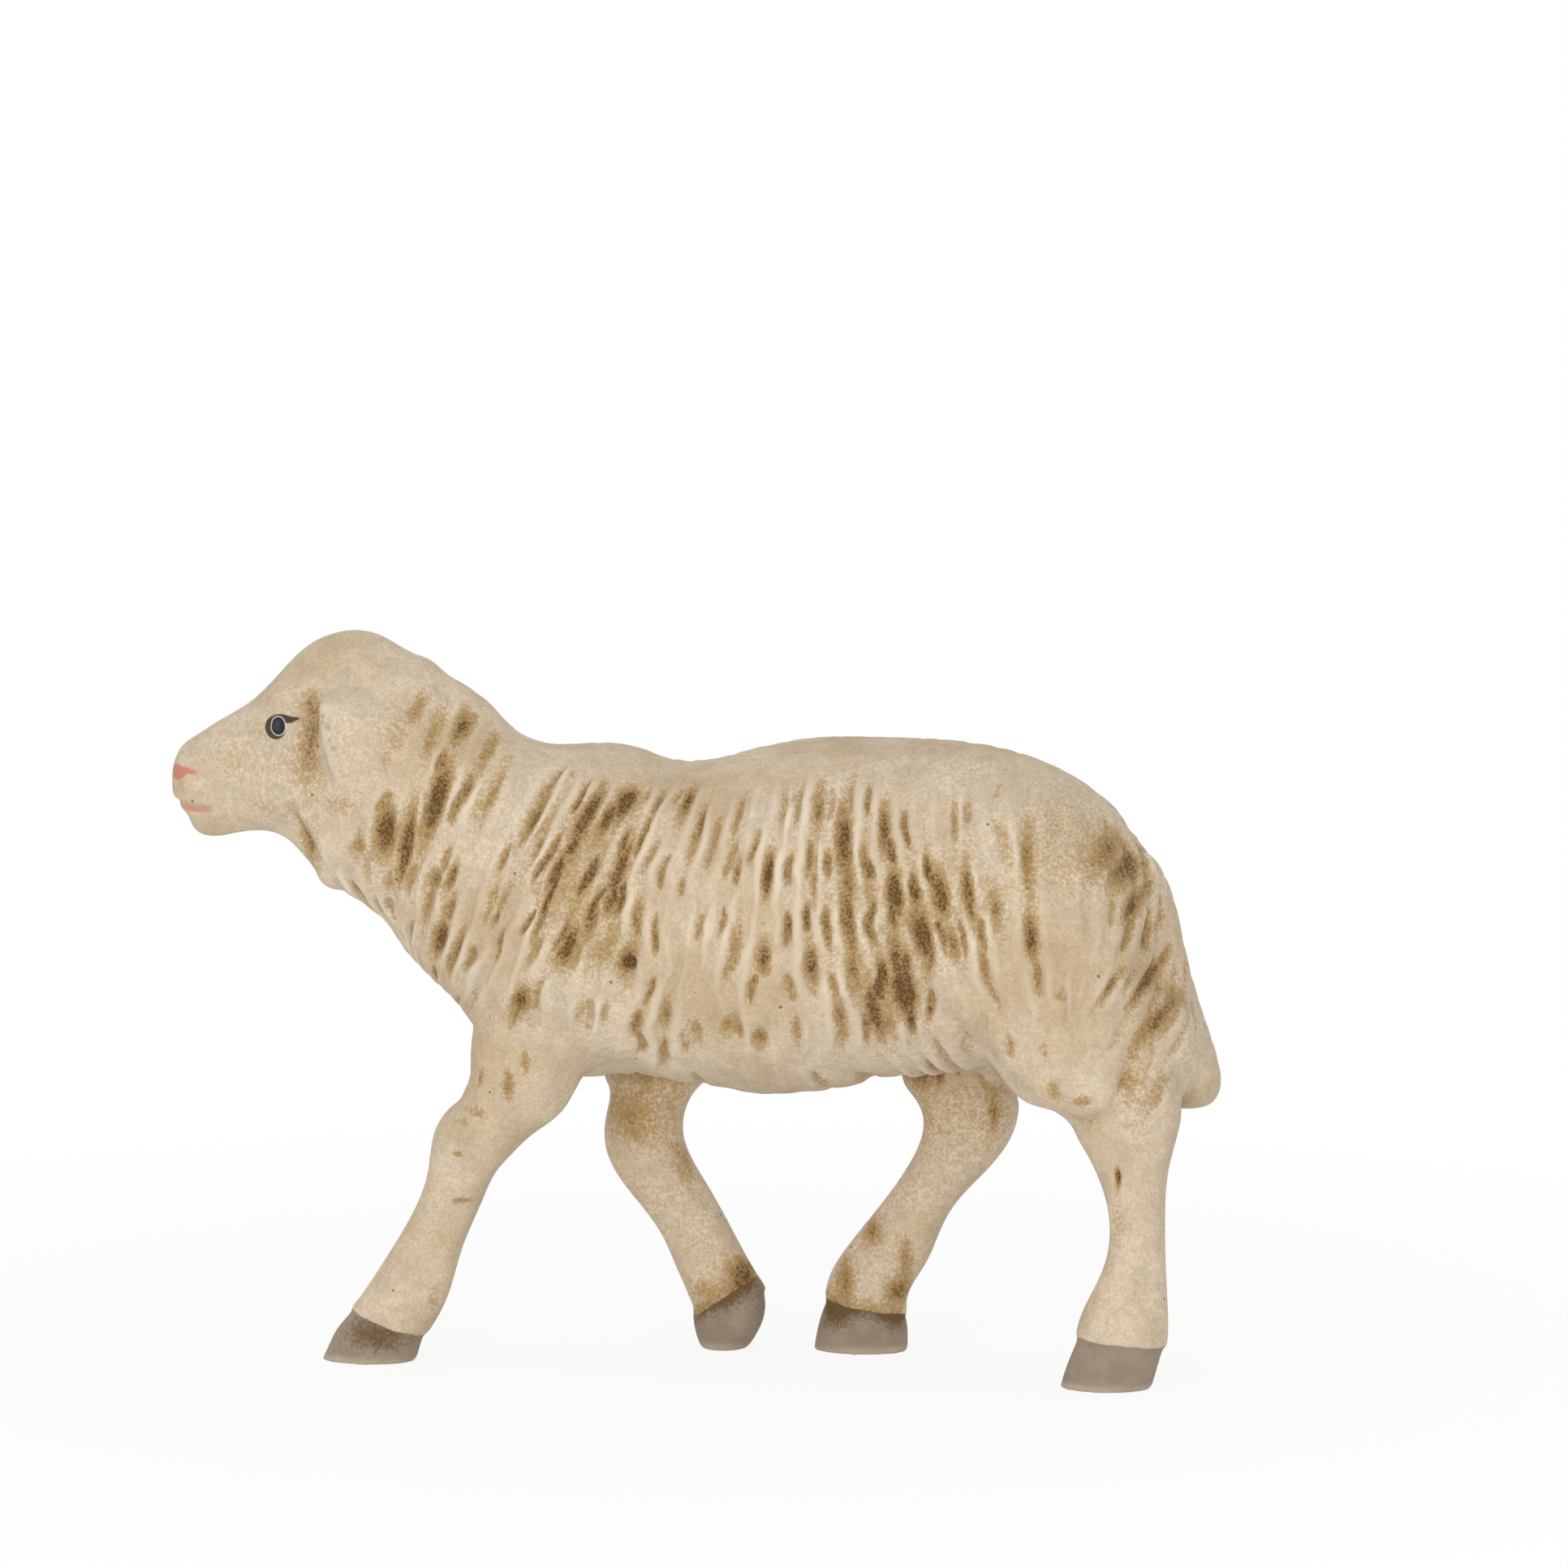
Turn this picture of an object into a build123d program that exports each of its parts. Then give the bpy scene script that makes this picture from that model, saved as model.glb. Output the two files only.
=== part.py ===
from build123d import *

import os
from math import cos, radians, sin
from typing import NamedTuple

# A walking sheep, cast in composition: a hollow trunk in two halves, with the head, ears, tail,
# shanks and hooves as separate castings, carried on wires. It faces -X and stands on Z = 0.
# Lengths are in millimetres and angles in degrees.

# Stance
LEG_HEIGHT = 20.5
FRONT_TRACK = 10.4
HIND_TRACK = 12.6
SHANK_WIDTH = 4.4
HOOF_STEP = 0.25

# Trunk
TRUNK_LENGTH = 54.6
TRUNK_DEPTH = 27.8
TRUNK_WIDTH = 25.0
BELLY_RISE = 0.4
WALL = 3.0

# Neck and head
NECK_LENGTH = 15.9
NECK_SLOPE = 35.0
NECK_DEPTH = 19.0
NECK_WIDTH = 12.0
POLL_LEAN = 25.0
HEAD_REACH = 15.4

# Ears
EAR_LENGTH = 8.6
EAR_WIDTH = 5.8
EAR_THICKNESS = 3.4

# Tail
TAIL_LENGTH = 19.7
TAIL_SWEEP = 4.6
TAIL_WIDTH = 6.8
TAIL_THICKNESS = 5.2

# Wires
WIRE_DIAMETER = 1.2
WIRE_CLEARANCE = 0.05
WIRE_BEND = 3.0
WIRE_ANCHOR = 8.0
NECK_WIRE_LENGTH = 15.0


class Ring(NamedTuple):
    """An upright oval section: two (x, z) points on the outline, its width across, and its y."""

    near: tuple
    far: tuple
    width: float
    y: float = 0.0


class Leg(NamedTuple):
    """One leg. Its outline is in shares of LEG_HEIGHT, measured from the joint under the fleece.

    Each row holds front x, front z, back x, back z, and the width as a share of SHANK_WIDTH.
    The upper rows are in shares of the trunk's length and depth, and its width.
    """

    name: str
    side: int
    track: float
    place: float
    upper: list
    shank: list
    hoof: list


LEFT, RIGHT = -1, 1

LEGS = [
    Leg(
        "front_left", LEFT, FRONT_TRACK, 0.077,
        upper=[(0.057, 0.309, 0.258, 0.255, 0.336), (0.007, 0.126, 0.190, 0.083, 0.288)],
        shank=[
            (-0.205, 1.020, 0.205, 0.980, 1.45),
            (-0.307, 0.859, 0.059, 0.824, 1.32),
            (-0.322, 0.722, -0.073, 0.663, 1.10),
            (-0.380, 0.566, -0.171, 0.483, 1.00),
            (-0.498, 0.366, -0.229, 0.302, 1.07),
            (-0.615, 0.200, -0.327, 0.102, 1.20),
        ],
        hoof=[(-0.727, 0.000, -0.371, 0.000, 1.25)],
    ),
    Leg(
        "front_right", RIGHT, FRONT_TRACK, 0.249,
        upper=[(0.148, 0.327, 0.396, 0.327, 0.336), (0.161, 0.147, 0.359, 0.147, 0.304)],
        shank=[
            (-0.205, 1.005, 0.205, 1.024, 1.45),
            (-0.202, 0.859, 0.098, 0.878, 1.27),
            (-0.190, 0.712, 0.107, 0.761, 1.18),
            (-0.078, 0.546, 0.180, 0.629, 1.05),
            (0.020, 0.410, 0.273, 0.468, 0.98),
            (0.083, 0.273, 0.371, 0.288, 1.05),
            (0.127, 0.171, 0.405, 0.224, 1.14),
        ],
        hoof=[(0.141, 0.073, 0.385, 0.083, 1.11), (0.166, 0.000, 0.341, 0.000, 0.95)],
    ),
    Leg(
        "hind_left", LEFT, HIND_TRACK, 0.960,
        upper=[
            (0.770, 0.640, 0.900, 0.640, 0.200),
            (0.725, 0.435, 0.985, 0.435, 0.360),
            (0.753, 0.201, 1.018, 0.219, 0.384),
            (0.808, 0.058, 1.033, 0.094, 0.320),
        ],
        shank=[
            (-0.205, 0.971, 0.205, 1.015, 1.50),
            (-0.127, 0.868, 0.185, 0.888, 1.23),
            (-0.063, 0.722, 0.166, 0.712, 1.02),
            (-0.049, 0.537, 0.166, 0.537, 0.98),
            (-0.088, 0.410, 0.171, 0.400, 1.02),
            (-0.141, 0.302, 0.176, 0.273, 1.14),
            (-0.171, 0.195, 0.171, 0.161, 1.23),
        ],
        hoof=[(-0.229, 0.000, 0.112, 0.000, 1.27)],
    ),
    Leg(
        "hind_right", RIGHT, HIND_TRACK, 0.675,
        upper=[
            (0.640, 0.600, 0.800, 0.600, 0.200),
            (0.580, 0.400, 0.860, 0.435, 0.360),
            (0.564, 0.165, 0.817, 0.201, 0.352),
        ],
        shank=[
            (-0.207, 1.010, 0.207, 1.020, 1.50),
            (-0.129, 0.893, 0.232, 0.907, 1.32),
            (-0.139, 0.810, 0.178, 0.776, 1.18),
            (-0.207, 0.678, 0.027, 0.605, 1.02),
            (-0.324, 0.517, -0.066, 0.454, 1.00),
            (-0.456, 0.341, -0.139, 0.302, 1.11),
            (-0.500, 0.200, -0.198, 0.146, 1.20),
        ],
        hoof=[(-0.544, 0.000, -0.193, 0.000, 1.27)],
    ),
]

# Trunk outline from the breast to the rump, in shares of its length and depth: top, bottom, width
TRUNK_ROWS = [
    (0.185, 0.964, 0.000, 0.147, 0.82),
    (0.285, 0.930, 0.158, 0.032, 0.93),
    (0.455, 0.980, 0.359, 0.007, 0.99),
    (0.590, 1.000, 0.524, 0.022, 1.00),
    (0.725, 0.989, 0.680, 0.076, 0.96),
    (0.853, 0.910, 0.817, 0.110, 0.86),
    (0.938, 0.766, 0.932, 0.140, 0.68),
    (0.987, 0.570, 0.982, 0.237, 0.38),
]
# Neck sections between trunk and head: share of the way, lean, share of NECK_DEPTH, of NECK_WIDTH
NECK_ROWS = [(0.36, 31.0, 1.02, 1.36), (0.69, 30.5, 0.97, 1.12)]
# Head outline from the neck to the nose, from the neck joint's centre: shares of HEAD_REACH
# forwards and of NECK_DEPTH upwards, for the brow and then the jaw, and of NECK_WIDTH across
HEAD_ROWS = [
    (0.091, 0.540, 0.325, -0.380, 0.95),
    (0.364, 0.449, 0.409, -0.312, 0.85),
    (0.519, 0.312, 0.519, -0.281, 0.72),
    (0.714, 0.192, 0.714, -0.296, 0.60),
    (0.896, 0.081, 0.909, -0.275, 0.48),
    (0.984, -0.008, 1.000, -0.139, 0.25),
]
# Ear from its root down to its tip: share of the length, of the width and of the thickness
EAR_ROWS = [(0.0, 0.40, 0.50), (0.2, 0.88, 0.90), (0.45, 1.0, 1.0), (0.75, 0.74, 0.88), (1.0, 0.28, 0.45)]
EAR_PLACE = (0.03, 0.365)
# Tail from its root to its tip: share of the drop, of the sweep, of the thickness and of the width
TAIL_ROWS = [
    (0.00, 0.00, 0.46, 0.45),
    (0.22, 0.40, 0.72, 0.90),
    (0.48, 0.62, 0.76, 1.00),
    (0.70, 0.83, 0.88, 1.00),
    (0.91, 0.98, 1.00, 0.84),
    (1.00, 0.98, 0.62, 0.52),
]
TAIL_PLACE = (0.943, 0.709)

# Where the trunk stands, so that nose and tail lie the same way from the origin
belly = LEG_HEIGHT + BELLY_RISE
breast_top, breast_bottom = TRUNK_ROWS[0][0:2], TRUNK_ROWS[0][2:4]
breast_middle = (breast_top[0] + breast_bottom[0]) / 2 * TRUNK_LENGTH
poll_from_breast = breast_middle - NECK_LENGTH * cos(radians(NECK_SLOPE))
nose_from_breast = poll_from_breast - HEAD_REACH
tail_from_breast = TAIL_PLACE[0] * TRUNK_LENGTH + TAIL_ROWS[-2][1] * TAIL_SWEEP + TAIL_THICKNESS / 2
breast = -(nose_from_breast + tail_from_breast) / 2


def on_trunk(along, up):
    """The (x, z) point at these shares of the trunk's length and depth."""
    return (breast + along * TRUNK_LENGTH, belly + up * TRUNK_DEPTH)


def middle(ring):
    """The centre of a ring, as (x, y, z)."""
    return ((ring.near[0] + ring.far[0]) / 2, ring.y, (ring.near[1] + ring.far[1]) / 2)


def between(a, b, share):
    """The point at this share of the way from a to b."""
    return tuple(p + (q - p) * share for p, q in zip(a, b))


def leaning_ring(centre, lean, depth, width):
    """A ring across the middle of the body, whose top leans back towards the tail."""
    dx, dz = sin(radians(lean)) * depth / 2, cos(radians(lean)) * depth / 2
    return Ring((centre[0] + dx, centre[1] + dz), (centre[0] - dx, centre[1] - dz), width)


def lofted(rings):
    """A closed form through these rings, in order."""
    with BuildPart() as form:
        for ring in rings:
            dx, dz = ring.near[0] - ring.far[0], ring.near[1] - ring.far[1]
            depth = (dx**2 + dz**2) ** 0.5
            with BuildSketch(Plane(middle(ring), x_dir=(0, 1, 0), z_dir=(dz, 0, -dx))):
                with BuildLine():
                    for start in (0, 180):
                        EllipticalCenterArc((0, 0), ring.width / 2, depth / 2, start, arc_size=180)
                make_face()
        loft()
    return form.part


def bent_rod(points, diameter):
    """A round rod along these points, bent to WIRE_BEND at each corner."""
    with BuildPart() as rod:
        with BuildLine() as path:
            if len(points) == 2:
                Line(*points)
            else:
                FilletPolyline(*points, radius=WIRE_BEND)
        with BuildSketch(Plane(path.line @ 0, z_dir=path.line % 0)):
            Circle(diameter / 2)
        sweep()
    return rod.part


def shrunk(ring, by):
    """The same ring, this much smaller all round."""
    dx, dz = ring.near[0] - ring.far[0], ring.near[1] - ring.far[1]
    depth = (dx**2 + dz**2) ** 0.5
    ux, uz = dx / depth * by, dz / depth * by
    near, far = (ring.near[0] - ux, ring.near[1] - uz), (ring.far[0] + ux, ring.far[1] + uz)
    return Ring(near, far, ring.width - 2 * by, ring.y)


def upper_rings(leg):
    """The rings of a leg's fleecy upper part, inside the trunk and down to the joint."""
    rows = [
        Ring(on_trunk(fx, fz), on_trunk(bx, bz), width * TRUNK_WIDTH, leg.side * leg.track / 2)
        for fx, fz, bx, bz, width in leg.upper
    ]
    return rows + shank_rings(leg, leg.shank)[:1]


def shank_rings(leg, rows):
    """The rings of a leg below the joint, from its rows."""
    joint = on_trunk(leg.place, 0)[0]
    return [
        Ring(
            (joint + fx * LEG_HEIGHT, fz * LEG_HEIGHT),
            (joint + bx * LEG_HEIGHT, bz * LEG_HEIGHT),
            width * SHANK_WIDTH,
            leg.side * leg.track / 2,
        )
        for fx, fz, bx, bz, width in rows
    ]


def hoof_rings(leg):
    """The rings of a hoof, from under the shank's rim down to its sole."""
    return [shrunk(shank_rings(leg, leg.shank)[-1], HOOF_STEP)] + shank_rings(leg, leg.hoof)


def wire_points(leg):
    """The bends of a leg's wire, from its end in the trunk to its end in the hoof."""
    shank, hoof = shank_rings(leg, leg.shank), hoof_rings(leg)
    joint = Vector(*middle(shank[0]))
    anchor = joint + (Vector(*middle(upper_rings(leg)[0])) - joint).normalized() * WIRE_ANCHOR
    tip = between(middle(hoof[0]), middle(hoof[-1]), 0.5)
    return [anchor, joint, middle(shank[2]), middle(shank[4]), tip]


# Rings of the trunk and neck, from the poll back to the rump
trunk_rings = [
    Ring(on_trunk(tx, tz), on_trunk(bx, bz), width * TRUNK_WIDTH) for tx, tz, bx, bz, width in TRUNK_ROWS
]
neck_axis = (-cos(radians(NECK_SLOPE)), sin(radians(NECK_SLOPE)))
neck_root = middle(trunk_rings[0])


def on_neck(distance):
    """The (x, z) point this far up the neck's axis from the breast."""
    return (neck_root[0] + neck_axis[0] * distance, neck_root[2] + neck_axis[1] * distance)


poll = on_neck(NECK_LENGTH)
poll_ring = leaning_ring(poll, POLL_LEAN, NECK_DEPTH, NECK_WIDTH)
neck_rings = [
    leaning_ring(on_neck(share * NECK_LENGTH), lean, depth * NECK_DEPTH, width * NECK_WIDTH)
    for share, lean, depth, width in NECK_ROWS
]
head_rings = [poll_ring] + [
    Ring(
        (poll[0] - fx * HEAD_REACH, poll[1] + fz * NECK_DEPTH),
        (poll[0] - bx * HEAD_REACH, poll[1] + bz * NECK_DEPTH),
        width * NECK_WIDTH,
    )
    for fx, fz, bx, bz, width in HEAD_ROWS
]
neck_wire_ends = [
    (poll[0] + neck_axis[0] * reach, 0, poll[1] + neck_axis[1] * reach)
    for reach in (NECK_WIRE_LENGTH / 2, -NECK_WIRE_LENGTH / 2)
]
bore = WIRE_DIAMETER + 2 * WIRE_CLEARANCE

# Trunk: a hollow shell with the fleecy upper legs, bored for the wires
upper_legs = [lofted(upper_rings(leg)) for leg in LEGS]

with BuildPart() as trunk_form:
    add(lofted([poll_ring, *reversed(neck_rings), *trunk_rings]))
    add(upper_legs)

with BuildPart() as hollow:
    add(lofted([shrunk(ring, WALL) for ring in trunk_rings[:-1]]))
    add(upper_legs, mode=Mode.SUBTRACT)

with BuildPart() as trunk:
    add(trunk_form.part)
    add(hollow.part, mode=Mode.SUBTRACT)
    for leg in LEGS:
        add(bent_rod(wire_points(leg), bore), mode=Mode.SUBTRACT)
    add(bent_rod(neck_wire_ends, bore), mode=Mode.SUBTRACT)

with BuildPart() as trunk_left_half:
    add(trunk.part)
    split(bisect_by=Plane.XZ, keep=Keep.TOP)
trunk_left_half.part.label = "trunk_left_half"

with BuildPart() as trunk_right_half:
    add(trunk.part)
    split(bisect_by=Plane.XZ, keep=Keep.BOTTOM)
trunk_right_half.part.label = "trunk_right_half"

# Head: from the poll joint to the nose
with BuildPart() as head:
    add(lofted(head_rings))
    add(bent_rod(neck_wire_ends, bore), mode=Mode.SUBTRACT)
head.part.label = "head"

# Neck wire: holds the head on the trunk
with BuildPart() as neck_wire:
    add(bent_rod(neck_wire_ends, WIRE_DIAMETER))
neck_wire.part.label = "neck_wire"

pieces = [trunk_left_half.part, trunk_right_half.part, head.part, neck_wire.part]

# Ears: drooping lobes, let into the sides of the head
ear_x = poll[0] - EAR_PLACE[0] * HEAD_REACH
ear_top = poll[1] + EAR_PLACE[1] * NECK_DEPTH
for side, name in ((LEFT, "ear_left"), (RIGHT, "ear_right")):
    ear_rings = []
    for drop, width, thickness in EAR_ROWS:
        half, z = width * EAR_WIDTH / 2, ear_top - drop * EAR_LENGTH
        ends = (ear_x - half, z), (ear_x + half, z)
        ear_rings.append(Ring(*ends, thickness * EAR_THICKNESS, side * NECK_WIDTH / 2))
    with BuildPart() as ear:
        add(lofted(ear_rings))
        add([head.part, trunk_form.part], mode=Mode.SUBTRACT)
    ear.part.label = name
    pieces.append(ear.part)

# Tail: hangs down the rump
tail_root = on_trunk(*TAIL_PLACE)
tail_rings = []
for drop, sweep_share, thickness, width in TAIL_ROWS:
    x, z = tail_root[0] + sweep_share * TAIL_SWEEP, tail_root[1] - drop * TAIL_LENGTH
    half = thickness * TAIL_THICKNESS / 2
    tail_rings.append(Ring((x - half, z), (x + half, z), width * TAIL_WIDTH))
with BuildPart() as tail:
    add(lofted(tail_rings))
    add(trunk_form.part, mode=Mode.SUBTRACT)
tail.part.label = "tail"
pieces.append(tail.part)

# Shanks, hooves and their wires
for leg in LEGS:
    with BuildPart() as shank:
        add(lofted(shank_rings(leg, leg.shank)))
        add(bent_rod(wire_points(leg), bore), mode=Mode.SUBTRACT)
    shank.part.label = f"shank_{leg.name}"

    with BuildPart() as hoof:
        add(lofted(hoof_rings(leg)))
        add(bent_rod(wire_points(leg), bore), mode=Mode.SUBTRACT)
    hoof.part.label = f"hoof_{leg.name}"

    with BuildPart() as leg_wire:
        add(bent_rod(wire_points(leg), WIRE_DIAMETER))
    leg_wire.part.label = f"leg_wire_{leg.name}"
    pieces += [shank.part, hoof.part, leg_wire.part]

os.makedirs("parts", exist_ok=True)
for piece in pieces:
    export_step(piece, f"parts/{piece.label}.step")
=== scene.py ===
import itertools
import math

import bmesh
import bpy
import numpy as np
from bpy.props import FloatProperty, FloatVectorProperty, IntProperty, PointerProperty
from mathutils import Matrix, Vector
from mathutils.bvhtree import BVHTree


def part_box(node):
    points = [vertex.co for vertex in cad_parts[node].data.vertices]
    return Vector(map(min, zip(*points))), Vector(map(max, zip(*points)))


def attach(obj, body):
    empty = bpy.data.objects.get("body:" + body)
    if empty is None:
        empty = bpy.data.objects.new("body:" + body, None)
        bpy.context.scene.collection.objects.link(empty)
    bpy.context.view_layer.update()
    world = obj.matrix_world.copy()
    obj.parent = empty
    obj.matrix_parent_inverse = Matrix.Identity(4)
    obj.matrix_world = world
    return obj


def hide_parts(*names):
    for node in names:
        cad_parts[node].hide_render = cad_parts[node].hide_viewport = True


bl_info = {
    "name": "Painted Walking Sheep",
    "version": (1, 0, 0),
    "blender": (4, 5, 0),
    "location": "View3D > Sidebar > Sheep",
    "description": "Models, carves and paints a cast walking sheep around its packed frame",
    "category": "Object",
}

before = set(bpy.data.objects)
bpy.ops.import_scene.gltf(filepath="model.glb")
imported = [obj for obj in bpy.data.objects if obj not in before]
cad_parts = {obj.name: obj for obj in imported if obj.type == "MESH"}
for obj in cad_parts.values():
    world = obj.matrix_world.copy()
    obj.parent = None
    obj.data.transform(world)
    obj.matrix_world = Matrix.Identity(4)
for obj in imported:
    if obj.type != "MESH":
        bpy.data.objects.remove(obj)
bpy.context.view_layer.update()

# The castings are carved in millimetres and brought to metres as each piece is cut out
MM = 0.001
SIDES = ("left", "right")
LEGS = ("front_left", "front_right", "hind_left", "hind_right")
TRUNK_HALVES = tuple(f"trunk_{side}_half" for side in SIDES)
EARS = tuple(f"ear_{side}" for side in SIDES)
SHANKS = tuple(f"shank_{leg}" for leg in LEGS)
HOOVES = tuple(f"hoof_{leg}" for leg in LEGS)
WIRES = tuple(f"leg_wire_{leg}" for leg in LEGS) + ("neck_wire",)
BODY = TRUNK_HALVES + ("head", "tail") + EARS
CASTINGS = BODY + SHANKS + HOOVES

# Strands of fleece from the side: where each crosses the flank, and its lean back as it rises
FLANK_HEIGHT = 36.0
STRAND_PLACES = (-28.0, -21.0, -14.0, -8.0, -3.0, 3.0, 9.0, 15.0, 22.0, 30.0, 37.0)
STRAND_LEANS = (0.10, 0.26, 0.42, 0.40, 0.27, 0.14, 0.04, -0.12, -0.18, -0.10, 0.55)

# Rounds of averaging: above the hooves and on them, at the ears and the tail, and for the masks
BODY_ROUNDS, HOOF_ROUNDS = 14, 4
EAR_ROUNDS, TAIL_ROUNDS, TAIL_SOFT_ROUNDS = 220, 200, 50
FINE_ROUNDS, BROAD_ROUNDS, HAZE_ROUNDS, SIDE_ROUNDS = 16, 170, 60, 20

# How far from its joint a cut reaches, and how far the head does, in millimetres
CUT_REACH, HEAD_REACH = 12.0, 24.0
# How far the skin may lie outside the CAD's box of a leg, and of an ear or the tail
LEG_MARGIN, SEAT_MARGIN = 2.0, 0.6
# The bend above which a rim is closed by a fan, and how deep the fan's point lies
FLAT_BEND, FAN_DEPTH = 0.02, 1.5

# The photograph's view
VIEW_TURN = math.radians(11.0)
VIEW_RISE = math.radians(9.0)


def paint_colour(name, description, default):
    """A colour of paint as a setting."""
    return FloatVectorProperty(
        name=name, description=description, subtype="COLOR", size=3, default=default
    )


class FleeceSettings(bpy.types.PropertyGroup):
    """Sizes of the carved fleece, in millimetres"""

    voxel: FloatProperty(name="Skin Detail", description="Spacing of the skin's points", default=0.22)
    groove_width: FloatProperty(name="Groove Width", description="Groove to groove across", default=1.7)
    groove_length: FloatProperty(name="Groove Length", description="Groove to groove along", default=4.6)
    depth: FloatProperty(name="Groove Depth", description="Depth of a groove", default=0.46)
    wander: FloatProperty(name="Wander", description="How far a strand strays sideways", default=1.6)
    seed: IntProperty(name="Seed", description="Which arrangement of grooves", default=7)


class PaintSettings(bpy.types.PropertyGroup):
    """Colours of the paint"""

    cream: paint_colour("Cream", "Ground coat", (0.722, 0.614, 0.474))
    # The wash and the umber also lay the painted shade in the creases, the folds and on the insides of
    # the legs
    wash: paint_colour("Brown Wash", "Thin brown glaze", (0.362, 0.222, 0.074))
    umber: paint_colour("Umber", "Wash where it pools", (0.120, 0.054, 0.014))
    hoof: paint_colour("Hoof Grey", "Hooves", (0.315, 0.250, 0.182))
    pink: paint_colour("Pink", "Nostril and lip", (0.55, 0.22, 0.155))


class StageSettings(bpy.types.PropertyGroup):
    """Camera and light"""

    lens: FloatProperty(name="Lens", description="Focal length", default=600.0, unit="CAMERA")
    floor: FloatProperty(name="Floor", description="Half the floor's width", default=0.6, unit="LENGTH")
    key: FloatProperty(name="Key Light", description="Power of the key lamp", default=0.50, unit="POWER")
    sky: FloatProperty(name="Surround", description="Light from all round", default=0.82)


def ease(low, high, value):
    """A smooth step from 0 at low to 1 at high."""
    t = np.clip((value - low) / (high - low), 0.0, 1.0)
    return t * t * (3.0 - 2.0 * t)


def blob(points, centre, radii):
    """A soft round falloff about a centre, 1 at its middle."""
    return np.exp(-(((points - np.array(centre)) / np.array(radii)) ** 2).sum(axis=1))


def strokes(points, table):
    """The falloffs of a table of strokes, added up."""
    return sum(amount * blob(points, centre, radii) for centre, radii, amount in table.values())


def distance_to_path(points, path):
    """How far each point lies from a path of straight runs."""
    nearest = np.full(len(points), np.inf)
    for start, end in zip(path, path[1:]):
        start, run = np.array(start), np.array(end) - np.array(start)
        share = np.clip((points - start) @ run / (run @ run), 0.0, 1.0)
        nearest = np.minimum(nearest, np.linalg.norm(points - start - share[:, None] * run, axis=1))
    return nearest


def read(items, name, width, kind=np.float32):
    """A property of all the items of a mesh, as an array with one row for each."""
    values = np.empty(len(items) * width, kind)
    items.foreach_get(name, values)
    values = values.astype(float) if kind is np.float32 else values
    return values.reshape(-1, width) if width > 1 else values


def store(mesh, name, values):
    """Adds a mask to a mesh, one value to a point."""
    mesh.attributes.new(name, "FLOAT", "POINT").data.foreach_set("value", values)


def add_object(name, data):
    """A new object in the scene."""
    item = bpy.data.objects.new(name, data)
    bpy.context.scene.collection.objects.link(item)
    return item


def use_up(item):
    """The mesh that an object's modifiers make. The object and its own mesh are removed."""
    bpy.context.view_layer.update()
    evaluated = item.evaluated_get(bpy.context.evaluated_depsgraph_get())
    result = bpy.data.meshes.new_from_object(evaluated)
    mesh = item.data
    bpy.data.objects.remove(item)
    bpy.data.meshes.remove(mesh)
    return result


def node_box(name):
    """The corners of a CAD node's box, in millimetres."""
    return tuple(np.array(corner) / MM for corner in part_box(name))


def node_triangles(name):
    """A CAD node's triangles, in millimetres, as an array of corners."""
    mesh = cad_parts[name].data
    corners = read(mesh.vertices, "co", 3)[read(mesh.loops, "vertex_index", 1, np.int32)]
    return corners.reshape(-1, 3, 3) / MM


def flat_faces(name):
    """The two largest flat faces of a CAD node as (point, outward normal), the higher first."""
    triangles = node_triangles(name)
    across = np.cross(triangles[:, 1] - triangles[:, 0], triangles[:, 2] - triangles[:, 0])
    area = np.linalg.norm(across, axis=1)
    keep = area > 1e-9
    triangles, area, normal = triangles[keep], area[keep], across[keep] / area[keep, None]
    offset = (normal * triangles[:, 0]).sum(axis=1)
    keys = np.round(np.column_stack([normal * 50, offset * 20])).astype(int)
    _, group = np.unique(keys, axis=0, return_inverse=True)
    group = group.ravel()
    total = np.bincount(group, weights=area)
    planes = []
    for index in np.argsort(total)[::-1][:2]:
        members = group == index
        weight = area[members] / area[members].sum()
        point = (triangles[members].mean(axis=1) * weight[:, None]).sum(axis=0)
        planes.append((point, (normal[members] * weight[:, None]).sum(axis=0)))
    return sorted(planes, key=lambda plane: -plane[0][2])


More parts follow.
